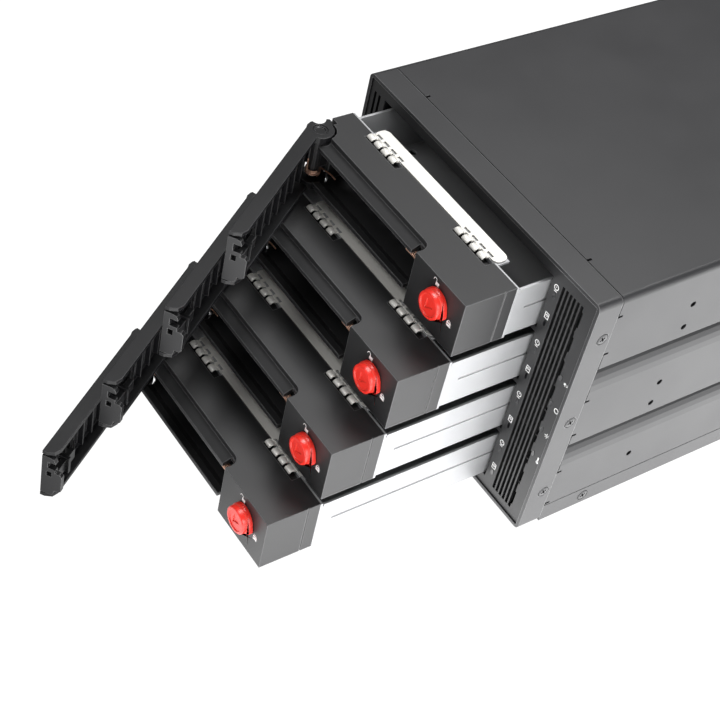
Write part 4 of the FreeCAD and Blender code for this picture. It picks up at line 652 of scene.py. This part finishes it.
# Painted highlight: the knob's lighter red edge colour stands for light caught on its rim.
knob_red = grained("knob_red", (0.90, 0.030, 0.018), size_mm=0.4, depth=0.04, mottle=0.04,
                   roughness=0.34, radius_mm=0.3, edge_color=(1.0, 0.16, 0.11), edge_mix=0.6,
                   coat=0.1)
knob = start("cylinder", "knob", (KNOB_X, DISC_Y, KNOB_UP), TO_FRONT,
             vertices=KNOB_CORNERS, radius=DISC_RADIUS, depth=KNOB_LAYER)
pick(knob, lambda middle, way: way.y < -FACING)
bpy.ops.mesh.bevel(offset=KNOB_EDGE, segments=3, affect="EDGES")
pick(knob, lambda middle, way: way.y < -SQUARE_ON and abs(middle.x - KNOB_X) < DISH_MIDDLE)
bpy.ops.mesh.inset(thickness=DISC_RIM)
bpy.ops.mesh.inset(thickness=DISH_SLOPE, depth=-DISH_DEEP)
bpy.ops.object.mode_set(mode="OBJECT")
arrow = start("cylinder", "arrow", (KNOB_X - ARROW_OFF, ARROW_Y, KNOB_UP + ARROW_OFF), TO_FRONT,
              vertices=3, radius=ARROW_RADIUS, depth=ARROW_DEEP)
arrow.data.transform(Matrix.Translation((KNOB_X, 0, KNOB_UP))
                     @ Matrix.Rotation(ARROW_TURN, 4, "Y")
                     @ Matrix.Translation((-KNOB_X, 0, -KNOB_UP)))
carve(knob, arrow)
collar = start("cylinder", "collar", (KNOB_X, COLLAR_Y, KNOB_UP), TO_FRONT,
               vertices=KNOB_CORNERS, radius=COLLAR_RADIUS, depth=KNOB_LAYER)
pick(collar, lambda middle, way: way.dot(BEAK_WAY) > BEAK_SPREAD)
bpy.ops.mesh.extrude_region_move(TRANSFORM_OT_translate={"value": BEAK_WAY * BEAK_LONG})
bpy.ops.transform.resize(value=BEAK_TAPER)
pick(collar, lambda middle, way: way.y < -FACING)
bpy.ops.mesh.bevel(offset=KNOB_EDGE, segments=2, affect="EDGES")
bpy.ops.object.mode_set(mode="OBJECT")
stalk = start("cylinder", "stalk", (KNOB_X, STALK_Y, KNOB_UP), TO_FRONT,
              vertices=24, radius=STALK_RADIUS, depth=STALK_LONG)
pick(stalk, lambda middle, way: way.y > FACING)
bpy.ops.mesh.inset(thickness=STALK_EDGE, depth=STALK_TIP)
bpy.ops.object.mode_set(mode="OBJECT")
weld(knob, collar, stalk)
soften(knob)
in_each_tray(knob, "knob_form", knob_red, "knob_plastic", "knob", "knob_%d")

shut_lock = mark("shut_lock", bar(-1.2, -0.5, 1.2, -0.5, LOCK_FOOT),
                 bar(-1.2, 0.6, 1.2, 0.6, LOCK_TOP), bar(-0.9, -0.3, -0.9, 0.5, LOCK_SIDE),
                 bar(0.9, -0.3, 0.9, 0.5, LOCK_SIDE), hoop(0, 0.9, 0.8, THIN, 0, 180))
shut_lock.data.transform(Matrix.Translation(SHUT_LOCK_PLACE))
in_each_tray(shut_lock, "shut_lock_mark", print_white, "block_plastic", None)
open_lock = mark("open_lock", bar(-0.9, -0.9, 1.1, -0.9, OPEN_LOCK_BODY),
                 hoop(-1.3, 0.3, 0.85, THIN, 0, 200), bar(-0.45, -0.1, -0.45, 0.3, THIN))
open_lock.data.transform(Matrix.Translation(OPEN_LOCK_PLACE))
in_each_tray(open_lock, "open_lock_mark", print_white, "block_plastic", None)

# ---------------------------------------------------------------------------
# Grounding strips.
# Thin plated spring steel over the seam of block and pan, punched and formed: two banks of
# four crowned fingers press on the tray or cage above, and a plain band joins them.
# ---------------------------------------------------------------------------

STRIP_TOP = 0.0255
BAND_X, BAND_Y = -0.00645, 0.02695
BAND_LONG, BAND_DEEP, BAND_THICK = 0.0799, 0.0065, 0.0004
BAND_CORNER = 0.0026
FINGER_ROOT, FINGER_SUNK = 0.0239, 0.0001
FINGER_HALVES = (0.00178, 0.0006, 1)
FINGER_THICK, FINGER_EDGE = 0.001, 0.0004
FINGER_CROWN = ((0.0004, 0.0005), (0.0006, 0.0002), (0.0008, 0), (0.0006, -0.0002),
                (0.0005, -0.0005), (0.0002, -0.0006))
BANKS, FINGERS_IN_BANK, FINGER_PITCH = (-0.0444, 0.0134), 4, 0.00475
SLOT_RIGHT, SLOT_Y, SLOT_SIZE = 0.00095, 0.0247, (0.0034, 0.0014, 0.003)
strip_steel = grained("strip_steel", (0.93, 0.91, 0.86), size_mm=3.0, depth=0.03, mottle=0.06,
                      roughness=0.38, radius_mm=0.12, edge_color=(0.98, 0.97, 0.93), edge_mix=0.4,
                      metallic=0.3)
strip = start("cube", "strip", (BAND_X, BAND_Y, STRIP_TOP - BAND_THICK / 2),
              scale=(BAND_LONG, BAND_DEEP, BAND_THICK), size=1)
bpy.ops.object.mode_set(mode="EDIT")
bpy.ops.mesh.select_mode(type="EDGE")
bpy.ops.mesh.select_all(action="DESELECT")
band = bmesh.from_edit_mesh(strip.data)
for edge in band.edges:
    low, high = edge.verts
    edge.select_set(abs(low.co.z - high.co.z) > BAND_THICK / 2)
bmesh.update_edit_mesh(strip.data)
bpy.ops.mesh.bevel(offset=BAND_CORNER, segments=6, affect="EDGES")
bpy.ops.object.mode_set(mode="OBJECT")
finger = start("plane", "finger", (0, FINGER_ROOT, STRIP_TOP - FINGER_SUNK),
               scale=FINGER_HALVES, size=2)
bpy.ops.object.mode_set(mode="EDIT")
bpy.ops.mesh.select_mode(type="EDGE")
bpy.ops.mesh.select_all(action="DESELECT")
leaf = bmesh.from_edit_mesh(finger.data)
for edge in leaf.edges:
    edge.select_set(all(corner.co.y < FINGER_ROOT for corner in edge.verts))
bmesh.update_edit_mesh(finger.data)
for run, rise in FINGER_CROWN:
    bpy.ops.mesh.extrude_region_move(TRANSFORM_OT_translate={"value": (0, -run, rise)})
bpy.ops.object.mode_set(mode="OBJECT")
work(finger, "SOLIDIFY", thickness=FINGER_THICK, offset=-1)
work(finger, "BEVEL", width=FINGER_EDGE, segments=4, limit_method="ANGLE", angle_limit=0.9)
fingers = []
for bank in BANKS:
    for number in range(FINGERS_IN_BANK):
        middle = bank + FINGER_PITCH * number
        fingers.append(twin(finger, "finger", Matrix.Translation((middle, 0, 0))))
        slot = start("cube", "slot", (middle + SLOT_RIGHT, SLOT_Y, STRIP_TOP),
                     scale=SLOT_SIZE, size=1)
        carve(strip, slot)
bpy.data.objects.remove(finger, do_unlink=True)
weld(strip, *fingers)
soften(strip, 50)
in_each_tray(strip, "ground_strip_form", strip_steel, "strip_steel", "ground_strip")

# ---------------------------------------------------------------------------
# Hinge pins and springs.
# A headed pin with a dished top drops through the block and the door. Under its boss a coil of
# spring wire opens the door with two straight legs, and a second one kicks the latch free.
# ---------------------------------------------------------------------------

PIN_RADIUS, PIN_LONG, PIN_MIDDLE = 0.00146, 0.0236, Vector((0, 0, 0.0126))
PIN_HEAD_GROW, PIN_HEAD_THICK = (1.93, 1.93, 1), 0.0006
PIN_HEAD_RIM, PIN_DISH_SLOPE, PIN_DISH_DEEP = 0.00055, 0.0003, 0.00045
LEG_RADIUS, WIRE_CORNERS = 0.00035, 8
SPRING_UP = Vector((0, 0, 0.0039))
REAR_LEG = ((-0.0562, 0.0085, 0.0060), (-0.0500, 0.0098, 0.0064), (-0.0466, 0.0098, 0.0064))
DOOR_LEG = ((-0.0562, 0.0029, 0.0046), (-0.0560, 0.0023, 0.0100), (-0.0560, 0.0023, 0.0120))
KICK_PLACE = (0.0069, 0.0046, 0.0184)
pin = start("cylinder", "pin", HINGE + PIN_MIDDLE, vertices=32, radius=PIN_RADIUS, depth=PIN_LONG)
pick(pin, lambda middle, way: way.z > FACING)
bpy.ops.mesh.extrude_region_move(TRANSFORM_OT_translate={"value": (0, 0, 0)})
bpy.ops.transform.resize(value=PIN_HEAD_GROW, center_override=HINGE)
bpy.ops.mesh.extrude_region_move(TRANSFORM_OT_translate={"value": (0, 0, PIN_HEAD_THICK)})
bpy.ops.mesh.inset(thickness=PIN_HEAD_RIM)
bpy.ops.mesh.inset(thickness=PIN_DISH_SLOPE, depth=-PIN_DISH_DEEP)
bpy.ops.object.mode_set(mode="OBJECT")
soften(pin)
pin_black = grained("pin_black", (0.022, 0.022, 0.023), size_mm=0.3, depth=0.06, mottle=0.08,
                    roughness=0.3, radius_mm=0.15, edge_color=(0.30, 0.30, 0.31), edge_mix=0.7,
                    metallic=0.5)
in_each_tray(pin, "hinge_pin_form", pin_black, "pin_steel", "hinge_pin")


def coil(name, radius, wire, pitch, turns, steps):
    """A helix of wire up the z axis from z = 0, wound with the Screw modifier."""
    helix = start("circle", name, (radius, 0, wire / 2), TO_FRONT, vertices=WIRE_CORNERS,
                  radius=wire / 2, fill_type="NGON")
    work(helix, "SCREW", axis="Z", screw_offset=pitch, iterations=turns, steps=steps,
         render_steps=steps, use_merge_vertices=False, use_normal_calculate=True)
    return helix


def leg(name, *points):
    """A straight or bent wire through points, extruded from a small ring."""
    first, second = Vector(points[0]), Vector(points[1])
    aim = (second - first).to_track_quat("Z", "Y").to_euler()
    wire = start("circle", name, first, aim, vertices=WIRE_CORNERS, radius=LEG_RADIUS,
                 fill_type="NGON")
    bpy.ops.object.mode_set(mode="EDIT")
    bpy.ops.mesh.select_all(action="SELECT")
    for here, there in zip(points, points[1:]):
        run = Vector(there) - Vector(here)
        bpy.ops.mesh.extrude_region_move(TRANSFORM_OT_translate={"value": run})
    bpy.ops.mesh.select_all(action="SELECT")
    bpy.ops.mesh.normals_make_consistent(inside=False)
    bpy.ops.object.mode_set(mode="OBJECT")
    return wire


coil_copper = grained("coil_copper", (0.72, 0.44, 0.32), size_mm=0.8, depth=0.04, mottle=0.1,
                      roughness=0.3, radius_mm=0.1, edge_color=(0.9, 0.7, 0.6), edge_mix=0.5,
                      metallic=0.7)
spring = coil("spring", radius=0.0029, wire=0.0007, pitch=0.0008, turns=3, steps=20)
spring.data.transform(Matrix.Translation(HINGE + SPRING_UP))
weld(spring, leg("rear_leg", *REAR_LEG), leg("door_leg", *DOOR_LEG))
soften(spring, 60)
in_each_tray(spring, "hinge_spring_form", coil_copper, "spring_steel", "hinge_spring")

kick = coil("kick", radius=0.00128, wire=0.0004, pitch=0.00078, turns=12, steps=14)
kick.data.transform(Matrix.Translation(KICK_PLACE) @ Matrix.Rotation(math.pi / 2, 4, "Y"))
soften(kick, 60)
in_each_tray(kick, "kick_spring_form", coil_copper, "spring_steel", "kick_spring")
